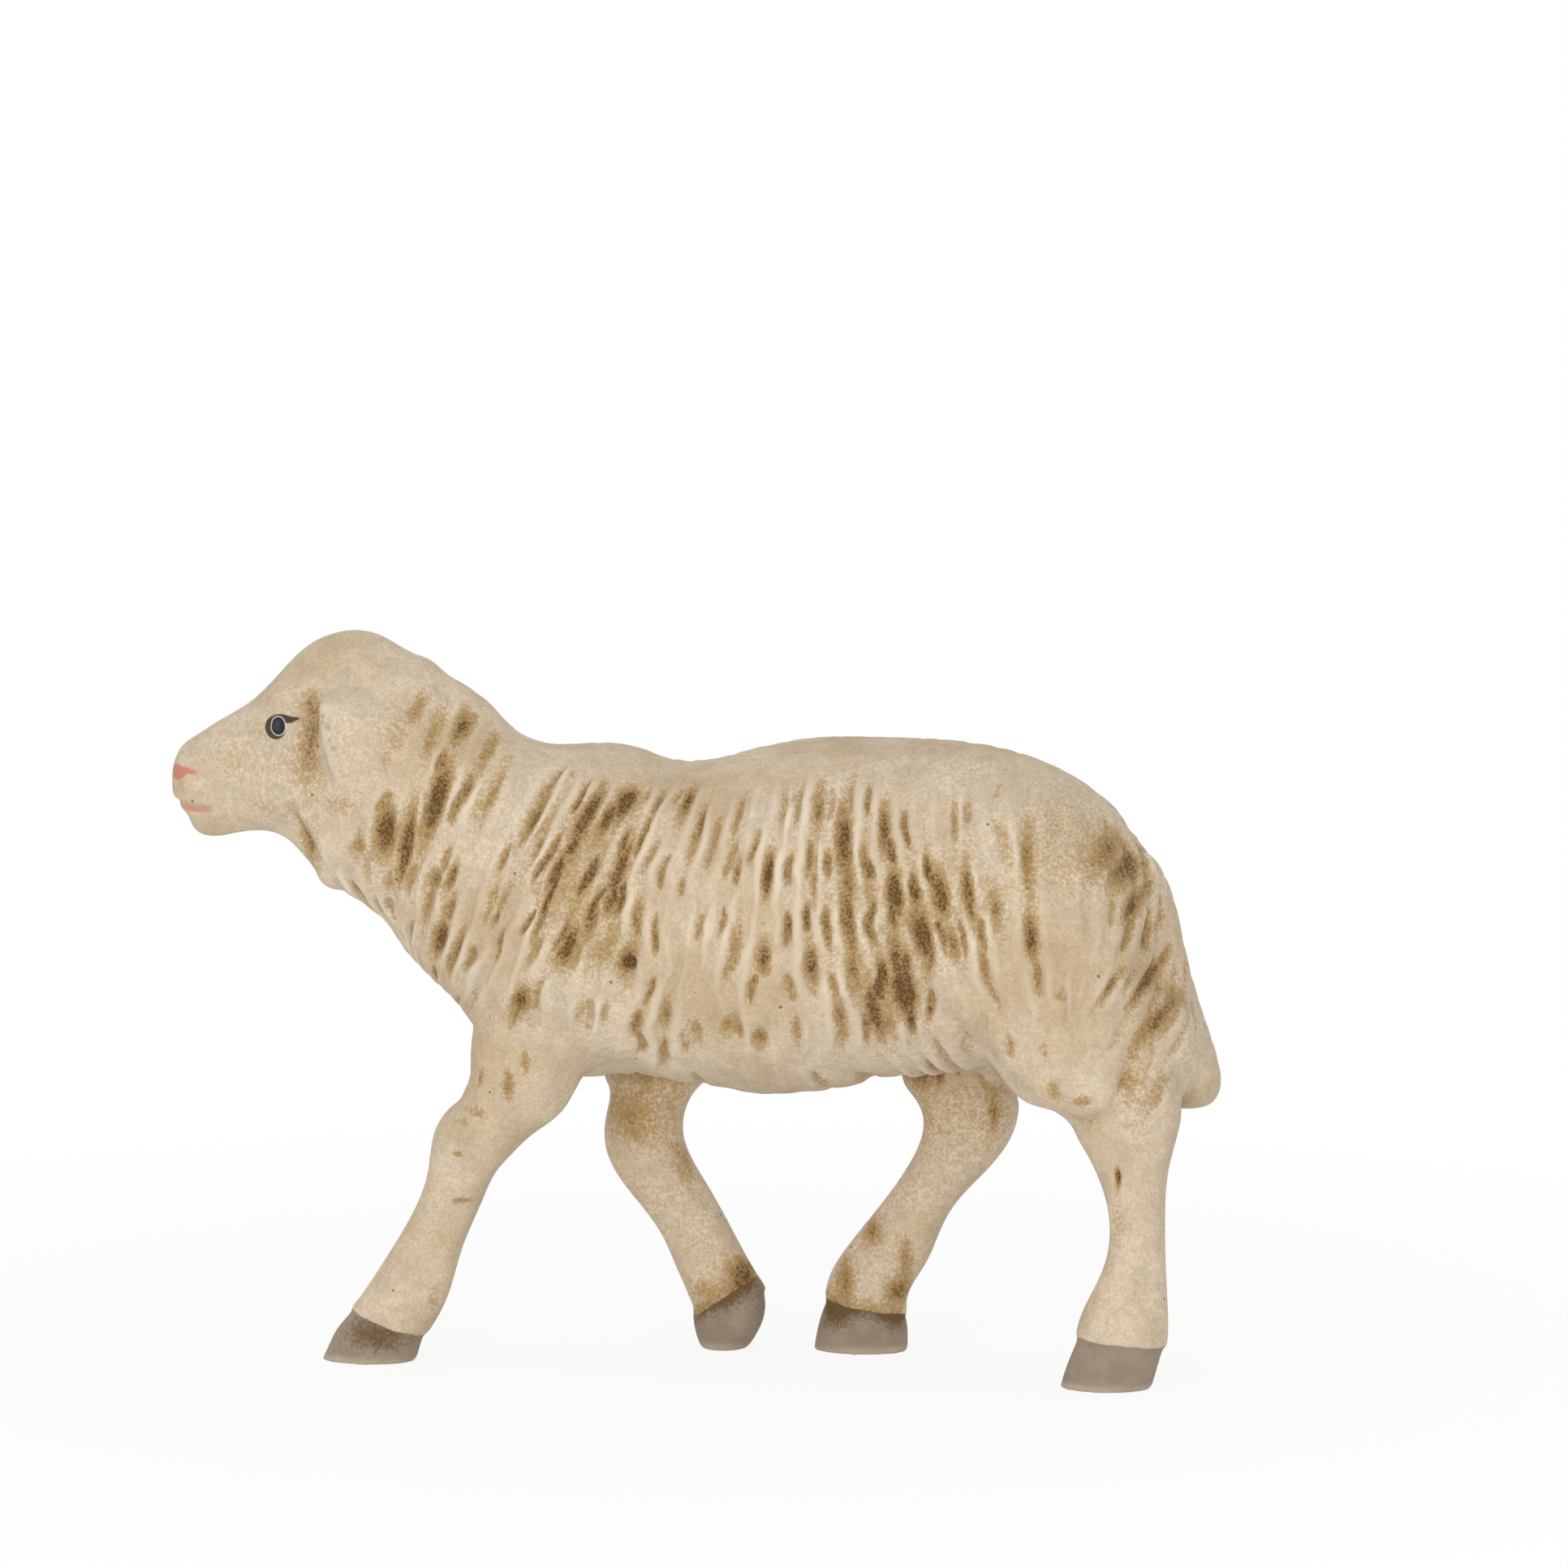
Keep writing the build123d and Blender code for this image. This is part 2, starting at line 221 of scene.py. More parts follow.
class Skin:
    """The closed skin over all the castings, with its points, faces and paint masks."""

    def __init__(self, mesh):
        self.co = read(mesh.vertices, "co", 3)
        self.faces = read(mesh.loops, "vertex_index", 1, np.int32).reshape(-1, 4)
        pairs = np.concatenate([self.faces[:, [a, (a + 1) % 4]] for a in range(4)])
        pairs.sort(axis=1)
        keys = np.unique(pairs[:, 0].astype(np.int64) * len(self.co) + pairs[:, 1])
        self.ends = (keys // len(self.co), keys % len(self.co))
        self.degree = sum(np.bincount(end, minlength=len(self.co)) for end in self.ends)
        self.masks = {}

    def around(self, values):
        """The mean of each point's neighbours."""
        first, last = self.ends
        size = len(self.co)
        columns = [
            np.bincount(first, column[last], size) + np.bincount(last, column[first], size)
            for column in values.T
        ]
        return np.column_stack(columns) / self.degree[:, None]

    def smoothed(self, values, times, weight=0.6):
        """The values after this many rounds of averaging with their neighbours."""
        for _ in range(times):
            values = values + (self.around(values) - values) * weight
        return values

    def normals(self):
        """The outward normal at each point."""
        a, b, c, d = (self.co[self.faces[:, corner]] for corner in range(4))
        face_normal = np.cross(c - a, d - b)
        normal = np.zeros_like(self.co)
        for corner in range(4):
            for axis in range(3):
                normal[:, axis] += np.bincount(self.faces[:, corner], face_normal[:, axis], len(self.co))
        return normal / np.linalg.norm(normal, axis=1)[:, None]

    def push(self, height):
        """Moves each point along its normal."""
        self.co = self.co + self.normals() * height[:, None]

    def relax(self, share, times):
        """Evens out the points that have a share, over this many rounds, and leaves the rest."""
        first, last = self.ends
        near = (share[first] > 0) | (share[last] > 0)
        used, pairs = np.unique(np.concatenate([first[near], last[near]]), return_inverse=True)
        first, last = pairs.reshape(2, -1)
        degree = np.bincount(pairs.ravel(), minlength=len(used))
        weight = 0.6 * share[used]
        for _ in range(times):
            for axis in range(3):
                column = self.co[used, axis]
                total = np.bincount(first, column[last], len(used))
                total += np.bincount(last, column[first], len(used))
                self.co[used, axis] = column + (total / degree - column) * weight

    def mirrored(self):
        """The points folded onto one side, for strokes that both sides share."""
        return self.co * (1, 0, 1) + np.abs(self.co) * (0, 1, 0)


def ellipsoid(centre, radii):
    """The corners of an ellipsoid's triangles."""
    work = bmesh.new()
    bmesh.ops.create_icosphere(work, subdivisions=3, radius=1.0)
    corners = np.array([corner.co for face in work.faces for corner in face.verts])
    work.free()
    return corners * radii + centre


def joined_skin(voxel):
    """The outer castings, and the fillings at the tail, run together into one closed skin."""
    solids = [node_triangles(name).reshape(-1, 3) for name in CASTINGS]
    fillings = [ellipsoid(centre, radii) for centre, radii in FILLINGS.values()]
    corners = np.concatenate(solids + fillings)
    mesh = bpy.data.meshes.new("castings")
    mesh.from_pydata(corners, [], np.arange(len(corners)).reshape(-1, 3))
    castings = add_object("castings", mesh)
    remesh = castings.modifiers.new("Skin", "REMESH")
    remesh.mode = "VOXEL"
    remesh.voxel_size = voxel
    result = use_up(castings)
    skin = Skin(result)
    bpy.data.meshes.remove(result)
    return skin


# Between haunch and tail: centre and radii of each filling, in millimetres
FILLINGS = {
    "left": ((37.9, -3.9, 26.2), (2.4, 2.6, 4.2)),
    "right": ((36.8, 3.9, 26.6), (2.2, 2.6, 4.2)),
}

# Soft swellings and hollows that both sides share: centre, radii and height, in millimetres
SWELLINGS = {
    "eye socket": ((-32.0, 4.6, 48.9), (2.3, 2.6, 1.7), -0.40),
    "eyeball": ((-31.4, 4.7, 48.9), (1.15, 2.2, 0.95), 0.42),
    "brow": ((-31.0, 4.0, 51.0), (2.6, 2.6, 1.0), 0.35),
    "cheek": ((-31.2, 4.6, 44.4), (3.0, 3.0, 2.6), 0.55),
    "muzzle hollow": ((-35.6, 3.4, 44.6), (2.2, 2.6, 2.0), -0.30),
    "nostril wing": ((-39.4, 1.9, 44.7), (1.2, 1.3, 1.0), 0.25),
    "nose tip": ((-39.6, 0.0, 46.0), (1.6, 3.0, 1.3), 0.50),
    "chin front": ((-40.2, 0.0, 40.9), (1.0, 3.0, 1.3), -0.60),
    "chin": ((-38.0, 0.8, 40.2), (1.6, 2.0, 0.9), 0.25),
    "poll": ((-25.6, 0.0, 55.4), (2.2, 4.0, 1.3), 0.30),
    "nape": ((-19.6, 0.0, 53.0), (1.4, 4.5, 1.4), -0.25),
    "crest": ((-16.6, 0.0, 50.4), (2.2, 4.0, 2.0), 0.35),
    "neck base": ((-12.4, 0.0, 48.2), (3.2, 4.0, 2.4), -0.45),
    "withers dip": ((-2.4, 0.0, 46.3), (2.0, 5.0, 2.0), -0.30),
    "back": ((3.6, 0.0, 47.2), (3.0, 5.0, 2.0), 0.45),
    "throat base": ((-27.3, 0.0, 35.3), (1.6, 4.0, 1.3), -0.50),
    "brisket": ((-23.3, 0.0, 31.3), (2.0, 4.0, 1.6), 0.50),
    "chest": ((-18.8, 0.0, 26.8), (2.6, 6.0, 3.0), -1.20),
    "forearm front": ((-17.3, 6.0, 23.0), (1.6, 4.0, 3.0), -0.70),
    "knee front": ((-18.7, 6.0, 19.2), (1.5, 3.0, 1.8), -0.35),
    "knee rear": ((-12.3, 6.5, 17.5), (2.0, 3.0, 2.6), -0.60),
    "cannon rear": ((-14.4, 6.0, 14.6), (2.0, 3.0, 2.4), -0.60),
    "armpit": ((-5.0, 6.0, 22.6), (2.5, 6.0, 1.5), -0.90),
    "thigh": ((31.0, 9.0, 23.6), (4.0, 3.0, 2.4), 0.40),
    "tail root": ((36.4, 6.8, 27.0), (1.2, 3.0, 4.5), -0.50),
    "rump": ((39.2, 0.0, 35.0), (2.0, 4.0, 5.0), -0.35),
    "belly front": ((2.5, 5.0, 21.8), (2.0, 6.0, 1.5), -0.55),
    "belly rear": ((14.8, 5.0, 22.4), (2.0, 6.0, 1.5), -0.65),
    "thigh edge": ((29.0, 8.0, 20.7), (2.6, 4.0, 1.6), -0.45),
    "shoulder": ((-10.5, 10.5, 31.0), (6.0, 5.0, 6.0), 0.70),
    "elbow hollow": ((-3.2, 11.5, 31.5), (2.0, 3.0, 4.0), -0.80),
    "flank hollow": ((19.5, 11.5, 32.0), (2.4, 4.0, 6.0), -0.90),
    "haunch": ((28.5, 10.5, 29.0), (6.0, 5.0, 6.5), 0.60),
    "neck base hollow": ((-14.0, 8.5, 39.0), (3.0, 4.0, 5.0), -0.35),
}

# Swellings of single hooves, as in the photograph
SINGLE_SWELLINGS = {
    "near front toe": ((-27.6, -5.2, 2.8), (1.2, 4.0, 1.6), 0.40),
    "far front heel": ((4.2, 5.2, 3.2), (1.0, 4.0, 2.0), 0.25),
    "far hind toe": ((8.4, 6.3, 2.5), (1.2, 4.0, 2.2), 0.25),
    "far hind heel": ((15.3, 6.3, 1.8), (1.0, 4.0, 1.5), 0.25),
    "near hind toe": ((30.0, -6.3, 2.5), (1.2, 4.0, 2.2), 0.20),
}
# How far the near hind leg is set forward of the CAD's
NEAR_HIND_STEP = 0.4

# Swellings that run the ears into the neck, before both are evened out
BLENDS = {
    "behind the ear": ((-22.6, 6.2, 47.6), (3.0, 3.0, 4.0), 1.30),
    "above the ear": ((-25.5, 5.5, 53.0), (3.0, 2.5, 1.6), 0.60),
    "tip of the ear": ((-25.6, 7.0, 43.6), (2.2, 2.0, 1.0), -0.60),
}

# Carved lines that both sides share: path, half width and depth, in millimetres
LINES = {
    "ear front": (((-29.1, 6.0, 51.2), (-28.5, 6.2, 48.0), (-27.6, 6.2, 45.4)), 0.75, 0.60),
    "throat": (((-30.8, 4.6, 42.6), (-29.1, 4.2, 38.9), (-27.4, 3.0, 36.3)), 0.60, 0.55),
    "throat fold": (((-29.4, 4.8, 42.2), (-27.9, 4.4, 38.6), (-26.4, 3.4, 36.4)), 0.80, -0.35),
    "upper eyelid": (((-32.6, 4.3, 49.1), (-31.5, 4.9, 49.85), (-30.2, 5.1, 49.5)), 0.28, 0.16),
    "flank fold": (((21.8, 10.8, 28.6), (24.0, 10.4, 26.0), (26.0, 10.0, 24.0)), 0.80, 0.40),
    "armpit": (((-3.8, 9.0, 24.9), (-0.1, 9.0, 24.5)), 0.35, 0.30),
    "thigh": (((27.5, 8.5, 20.9), (32.1, 8.6, 20.7), (34.4, 8.2, 21.9), (35.4, 7.8, 24.4)), 0.70, 0.75),
    "haunch": (((35.4, 7.8, 24.4), (35.1, 7.8, 27.6), (35.6, 7.0, 32.0)), 0.80, 0.50),
}
# Distance across the sheep counts for less, as the paths lie only near the skin
LINE_SCALE = np.array((1.0, 0.3, 1.0))
MOUTH_CORNER, MOUTH_HEIGHT, MOUTH_DROP = -37.2, 42.0, 0.10

# The upper edge of the fleece: place along and height, in millimetres
FLEECE_TOP = (
    (-24, 55),
    (-17, 51),
    (-13, 47.4),
    (-8, 46.9),
    (-2, 45.7),
    (8, 48.3),
    (20, 48.7),
    (28, 47.3),
    (34, 44.8),
    (38, 40.5),
)

# The share of places along the strands that are hollow, and where it is more or less
USUAL_DENSITY = 0.60
DENSITIES = {
    "neck": ((-19.0, 6.0, 43.0), (6.0, 9.0, 8.0), 0.10),
    "brisket": ((-17.0, 5.0, 32.0), (4.0, 8.0, 6.0), 0.10),
    "shoulder blade": ((-7.0, 10.0, 37.0), (5.0, 9.0, 7.0), 0.25),
    "low flank": ((3.5, 11.0, 30.5), (5.5, 9.0, 6.0), -0.45),
    "rear flank": ((16.0, 11.0, 36.0), (7.0, 9.0, 9.0), 0.45),
    "rump": ((36.0, 5.0, 36.0), (4.0, 9.0, 10.0), 0.40),
    "side of the rump": ((31.5, 8.0, 37.5), (3.2, 6.0, 5.0), -0.55),
}

# The larger hollows of the fleece, read off one by one: place along, height, length and width in
# millimetres, and strength
DEEP_HOLLOWS = {
    "neck": (
        (-22.5, 53.6, 1.8, 0.6, 0.55),
        (-21.1, 53.3, 1.6, 0.6, 0.50),
        (-21.1, 51.2, 2.4, 1.4, 0.85),
        (-22.1, 49.0, 2.4, 1.4, 0.35),
        (-19.5, 48.9, 4.0, 1.1, 0.45),
        (-17.3, 49.6, 3.0, 1.2, 0.70),
        (-15.5, 47.3, 4.0, 0.9, 0.50),
        (-16.6, 45.0, 2.0, 0.8, 0.60),
        (-14.6, 44.6, 3.5, 0.9, 0.55),
        (-19.1, 43.5, 5.0, 1.3, 1.10),
        (-23.1, 41.2, 3.2, 1.4, 1.20),
        (-21.4, 40.2, 4.6, 1.0, 1.20),
        (-25.4, 40.0, 2.0, 1.2, 0.70),
        (-23.0, 37.1, 1.5, 1.0, 0.45),
    ),
    "chest": (
        (-19.0, 38.0, 1.5, 1.2, 0.80),
        (-17.6, 38.2, 2.2, 0.9, 0.80),
        (-19.5, 36.2, 4.0, 1.0, 0.50),
        (-17.7, 35.7, 2.5, 1.0, 0.55),
        (-18.7, 33.3, 2.6, 1.4, 0.85),
        (-17.2, 32.5, 3.0, 0.9, 0.55),
        (-13.1, 36.9, 2.5, 1.0, 0.45),
        (-13.7, 35.5, 1.5, 0.7, 0.65),
    ),
    "shoulder": (
        (-11.0, 43.3, 3.6, 1.0, 0.85),
        (-13.3, 40.0, 2.0, 0.6, 0.60),
        (-10.4, 41.2, 2.0, 0.6, 0.50),
        (-8.9, 39.4, 2.5, 0.7, 0.75),
        (-9.4, 37.3, 4.0, 0.5, 0.65),
        (-10.0, 35.4, 3.0, 0.6, 0.60),
        (-7.0, 43.2, 3.5, 1.2, 0.80),
        (-7.7, 41.5, 1.8, 0.9, 0.70),
        (-3.8, 45.0, 3.0, 2.0, 0.90),
        (-5.3, 43.1, 2.2, 1.1, 0.70),
        (-3.9, 39.6, 4.0, 1.0, 0.80),
        (-4.3, 37.5, 1.8, 1.0, 0.75),
        (-5.9, 35.8, 1.8, 1.0, 0.50),
        (-7.8, 33.6, 2.6, 1.2, 0.95),
        (-3.2, 32.6, 2.0, 1.4, 0.45),
        (-11.6, 29.2, 2.2, 1.6, 0.85),
        (-7.0, 28.3, 1.8, 0.8, 0.55),
        (-5.1, 28.3, 1.8, 0.6, 0.60),
    ),
    "flank": (
        (-1.3, 45.5, 3.0, 0.8, 0.60),
        (0.7, 45.2, 3.5, 1.3, 0.75),
        (1.7, 42.0, 3.0, 1.0, 0.45),
        (3.2, 41.7, 3.5, 0.9, 0.55),
        (4.9, 43.6, 3.0, 0.7, 0.60),
        (5.4, 39.9, 2.4, 0.8, 0.70),
        (5.4, 34.4, 3.6, 1.1, 0.60),
        (7.8, 40.0, 3.0, 0.9, 0.95),
        (7.7, 33.4, 2.4, 1.3, 0.80),
        (-2.3, 36.3, 2.0, 1.0, 0.40),
        (-0.3, 28.5, 2.2, 1.0, 0.60),
        (-2.8, 27.6, 2.0, 0.9, 0.65),
        (2.0, 27.2, 2.0, 1.3, 0.55),
        (4.5, 27.7, 1.8, 1.2, 0.60),
        (6.9, 26.7, 1.6, 1.4, 0.60),
        (9.9, 27.4, 2.6, 0.8, 0.60),
    ),
    "rear flank": (
        (9.2, 45.5, 1.6, 0.7, 0.45),
        (11.3, 45.0, 4.0, 1.1, 0.75),
        (13.4, 42.8, 4.0, 1.5, 1.00),
        (16.5, 43.5, 3.0, 1.0, 0.60),
        (21.9, 43.8, 2.6, 0.6, 0.55),
        (11.5, 39.6, 4.0, 0.5, 0.55),
        (14.1, 39.9, 3.0, 1.3, 0.50),
        (17.8, 38.6, 2.4, 1.1, 0.80),
        (21.3, 38.7, 3.2, 1.3, 0.62),
        (23.4, 38.8, 4.0, 0.8, 0.85),
        (25.5, 37.6, 3.2, 1.0, 0.60),
        (14.3, 36.3, 5.0, 1.0, 0.65),
        (19.9, 35.4, 3.0, 1.4, 0.85),
        (22.3, 34.8, 2.5, 1.0, 0.70),
        (24.7, 32.8, 3.0, 0.8, 0.60),
        (28.2, 35.6, 3.0, 1.1, 0.75),
        (27.6, 41.2, 4.0, 1.0, 0.45),
        (17.9, 33.5, 2.6, 1.0, 0.75),
        (18.3, 30.8, 3.0, 1.6, 0.70),
        (16.0, 29.0, 4.0, 1.0, 0.80),
        (14.5, 32.6, 3.0, 0.9, 0.55),
        (13.4, 28.8, 3.0, 0.9, 0.55),
        (11.4, 32.8, 2.6, 1.3, 0.70),
    ),
    "rump": (
        (33.0, 41.6, 2.2, 1.2, 0.55),
        (34.5, 40.3, 2.2, 1.2, 0.70),
        (36.3, 39.2, 2.8, 1.0, 0.75),
        (37.3, 36.6, 2.6, 1.0, 0.80),
        (35.2, 37.3, 2.0, 1.1, 0.65),
        (34.1, 31.4, 2.6, 1.2, 0.90),
        (36.7, 32.3, 5.0, 0.8, 0.65),
        (37.4, 28.8, 2.4, 1.5, 0.85),
        (30.4, 31.0, 1.3, 0.9, 0.50),
        (36.3, 27.5, 4.0, 1.2, 0.60),
        (38.2, 24.2, 2.0, 1.2, 0.55),
    ),
}


def strand_line(x, z):
    """Where the strand of fleece through each point crosses the middle of the flank."""
    line = x.copy()
    for _ in range(8):
        line = x - np.interp(line, STRAND_PLACES, STRAND_LEANS) * (z - FLANK_HEIGHT)
    return line


def swell(skin, table, both_sides=True):
    """Pushes the skin out by each swelling of a table in turn."""
    for centre, radii, height in table.values():
        points = skin.mirrored() if both_sides else skin.co
        skin.push(height * blob(points, centre, radii))


def blend_ears(skin):
    """Runs the ears into head and neck at the rear, the top and the tip, and leaves their front."""
    x, y, z = skin.co.T
    ear = ease(-16.0, -19.0, x) * ease(40.5, 42.5, z) * ease(3.0, 4.5, np.abs(y))
    rear = ease(-27.6, -25.0, x)
    top = ease(50.8, 52.6, z) * ease(-31.0, -29.0, x)
    tip = ease(45.4, 44.0, z) * ease(-29.0, -28.0, x)
    skin.relax(ear * np.maximum(np.maximum(rear, top), tip), EAR_ROUNDS)


def blend_tail(skin):
    """Runs the sides of the tail into the haunches, and then evens out the whole tail a little."""
    x, y, z = skin.co.T
    middle = 0.8 + 1.4 * ease(34.0, 30.0, z)
    side = ease(middle, middle + 1.4, np.abs(y))
    skin.relax(ease(33.0, 35.0, x) * ease(21.8, 23.5, z) * ease(46.0, 43.0, z) * side, TAIL_ROUNDS)
    skin.relax(ease(35.0, 37.0, x) * ease(22.5, 24.0, z) * ease(40.0, 36.0, z), TAIL_SOFT_ROUNDS)


def shape_features(skin):
    """Eases the joints between castings and models the face, the shoulders and the haunches."""
    soft = ease(5.0, 9.0, skin.co[:, 2])[:, None]
    skin.co = skin.co + (skin.smoothed(skin.co, BODY_ROUNDS) - skin.co) * soft
    skin.co = skin.co + (skin.smoothed(skin.co, HOOF_ROUNDS) - skin.co) * (1 - soft)
    swell(skin, BLENDS)
    blend_ears(skin)
    blend_tail(skin)
    swell(skin, SWELLINGS)
    swell(skin, SINGLE_SWELLINGS, both_sides=False)
    x, y, z = skin.co.T
    near_hind = ease(22.0, 26.0, x) * ease(22.0, 16.0, z) * ease(0.0, -2.0, y)
    skin.co[:, 0] -= NEAR_HIND_STEP * near_hind
    skin.co[:, 2] = np.maximum(z, 0.0)
    for path, width, depth in LINES.values():
        away = distance_to_path(skin.mirrored() * LINE_SCALE, np.array(path) * LINE_SCALE)
        skin.push(-depth * np.exp(-((away / width) ** 2)))
    x, _, z = skin.co.T
    lip = MOUTH_HEIGHT - (x - MOUTH_CORNER) * MOUTH_DROP
    mouth = np.exp(-(((z - lip) / 0.32) ** 2)) * ease(MOUTH_CORNER + 0.4, MOUTH_CORNER - 0.6, x)
    skin.push(-0.30 * mouth * (z > 38))


def fleece_cover(skin, poll):
    """How much fleece each point carries: most on the flanks, little on the back, none on the head."""
    x, y, z = skin.co.T
    point, outward = poll
    behind = (skin.co - point) @ outward
    top = np.interp(x, *zip(*FLEECE_TOP))
    band = np.interp(x, (-16.0, -2.0, 8.0), (0.5, 0.9, 2.4))
    cover = ease(0.5, 3.0, behind)
    # Little above its upper edge
    least = np.interp(x, (-12.0, -2.0), (0.08, 0.16))
    cover *= least + (1 - least) * ease(0.35 * band, 1.5 * band, top - z)
    # Less on the rump and the tail, and least at the tail's end and along its middle
    cover *= 1 - 0.25 * ease(33.0, 37.0, x) - 0.4 * ease(37.0, 39.0, x) * ease(31.0, 27.0, z)
    cover *= 1 - 0.35 * ease(34.0, 37.0, x) * ease(6.0, 3.0, np.abs(y))
    # Nearly smooth on the thigh and the forearm
    thigh = np.exp(-(((x - 29.0) / 8.0) ** 4 + ((z - 24.0) / 7.0) ** 4)) * ease(3.0, 6.0, np.abs(y))
    forearm = np.exp(-(((x + 13.0) / 5.0) ** 2 + ((z - 24.0) / 4.5) ** 2))
    cover *= 1 - 0.85 * np.clip(thigh + forearm, 0, 1)
    # Less in the middle of the chest, and none on the legs
    cover *= 1 - 0.55 * ease(3.5, 1.0, np.abs(y)) * ease(-14.0, -18.0, x) * ease(46.0, 42.0, z)
    cover *= ease(20.0, 24.0, z)
    return cover


def deep_hollows(skin, line):
    """How far each point lies in one of the larger hollows."""
    _, y, z = skin.co.T
    deep = np.zeros(len(line))
    for place, height, length, width, strength in itertools.chain(*DEEP_HOLLOWS.values()):
        across = line - strand_line(np.array([place]), np.array([height]))[0]
        reach = ((z - height) / (0.62 * length)) ** 2 + (across / (0.50 * width)) ** 2
        deep = np.maximum(deep, 1.40 * strength * np.exp(-reach) * ease(1.0, 2.5, np.abs(y)))
    return deep


def carve_fleece(skin, settings, cover):
    """Sinks the flaws one by one, and the fleece with its node tree."""
    for centre, radii, depth in FLAWS.values():
        skin.push(-depth * blob(skin.co, centre, radii))
    x, y, z = skin.co.T
    line = strand_line(x, z)
    deep = deep_hollows(skin, line)
    # Towards the middle, the strands bend round the rump and under the throat
    inward = 4.5 - np.abs(y)
    line = line + np.where(inward > 0, 0.8, 0.25) * inward * ease(27.0, 36.0, x)
    line = line - 0.8 * np.maximum(inward, 0.0) * ease(-15.0, -21.0, x) * ease(42.0, 37.0, z)
    density = USUAL_DENSITY + strokes(skin.mirrored(), DENSITIES)
    mesh = bpy.data.meshes.new("skin")
    mesh.from_pydata(skin.co, [], skin.faces)
    flow = mesh.attributes.new("flow", "FLOAT_VECTOR", "POINT")
    flow.data.foreach_set("vector", np.column_stack([line, z, 0.2 * y]).ravel())
    for name, values in (("cover", cover), ("density", density), ("deep", deep)):
        store(mesh, name, values)
    carved = add_object("skin", mesh)
    modifier = carved.modifiers.new("Fleece", "NODES")
    modifier.node_group = fleece_tree()
    sizes = {
        "Groove Width": settings.groove_width,
        "Groove Length": settings.groove_length,
        "Depth": settings.depth,
        "Wander": settings.wander,
        "Seed": settings.seed,
    }
    for item in modifier.node_group.interface.items_tree:
        if item.name in sizes:
            modifier[item.identifier] = sizes[item.name]
    result = use_up(carved)
    skin.co = read(result.vertices, "co", 3)
    skin.masks["groove"] = read(result.attributes["pit"].data, "value", 1)
    bpy.data.meshes.remove(result)


class Tree:
    """A short way to place and join nodes."""

    def __init__(self, nodes_owner):
        self.nodes = nodes_owner.nodes
        self.links = nodes_owner.links

    def put(self, kind, inputs=(), **settings):
        """Adds a node, sets its properties, and links or sets its inputs by name or number."""
        node = self.nodes.new(kind)
        for key, value in settings.items():
            setattr(node, key, value)
        for key, value in dict(inputs).items():
            if isinstance(value, bpy.types.NodeSocket):
                self.links.new(value, node.inputs[key])
            else:
                node.inputs[key].default_value = value
        return node

    def math(self, operation, *values):
        """A Math node's value."""
        return self.put("ShaderNodeMath", enumerate(values), operation=operation).outputs[0]

    def vector(self, operation, *values):
        """A Vector Math node's vector."""
        return self.put("ShaderNodeVectorMath", enumerate(values), operation=operation).outputs[0]

    def remap(self, value, low, high, out_low=0.0, out_high=1.0):
        """A smooth step of a value."""
        inputs = {"Value": value, "From Min": low, "From Max": high}
        inputs.update({"To Min": out_low, "To Max": out_high})
        return self.put("ShaderNodeMapRange", inputs, interpolation_type="SMOOTHSTEP").outputs["Result"]

    def scaled(self, vector, scale):
        """A vector times a value."""
        inputs = {0: vector, "Scale": scale}
        return self.put("ShaderNodeVectorMath", inputs, operation="SCALE").outputs[0]

    def length(self, vector):
        """A vector's length."""
        return self.put("ShaderNodeVectorMath", {0: vector}, operation="LENGTH").outputs["Value"]

    def noise(self, vector, scale, detail=2.0):
        """A noise texture's outputs."""
        inputs = {"Vector": vector, "Scale": scale, "Detail": detail}
        return self.put("ShaderNodeTexNoise", inputs).outputs

    def sway(self, value, noise, amount):
        """A value made uneven by a noise around its middle."""
        return self.math("MULTIPLY_ADD", self.math("SUBTRACT", noise, 0.5), amount, value)

    def place(self):
        """The object's own coordinates, for a material."""
        return self.put("ShaderNodeTexCoord").outputs["Object"]

    def mask(self, name):
        """A mask stored on the mesh, for a material."""
        return self.put("ShaderNodeAttribute", attribute_name=name).outputs["Fac"]

    def mix(self, share, first, second):
        """One colour laid over another."""
        node = self.put("ShaderNodeMix", data_type="RGBA", clamp_factor=True)
        for socket, value in (("Factor_Float", share), ("A_Color", first), ("B_Color", second)):
            target = next(item for item in node.inputs if item.identifier == socket)
            if isinstance(value, bpy.types.NodeSocket):
                self.links.new(value, target)
            elif socket == "Factor_Float":
                target.default_value = value
            else:
                target.default_value = (*value[:3], 1.0)
        return next(item for item in node.outputs if item.identifier == "Result_Color")


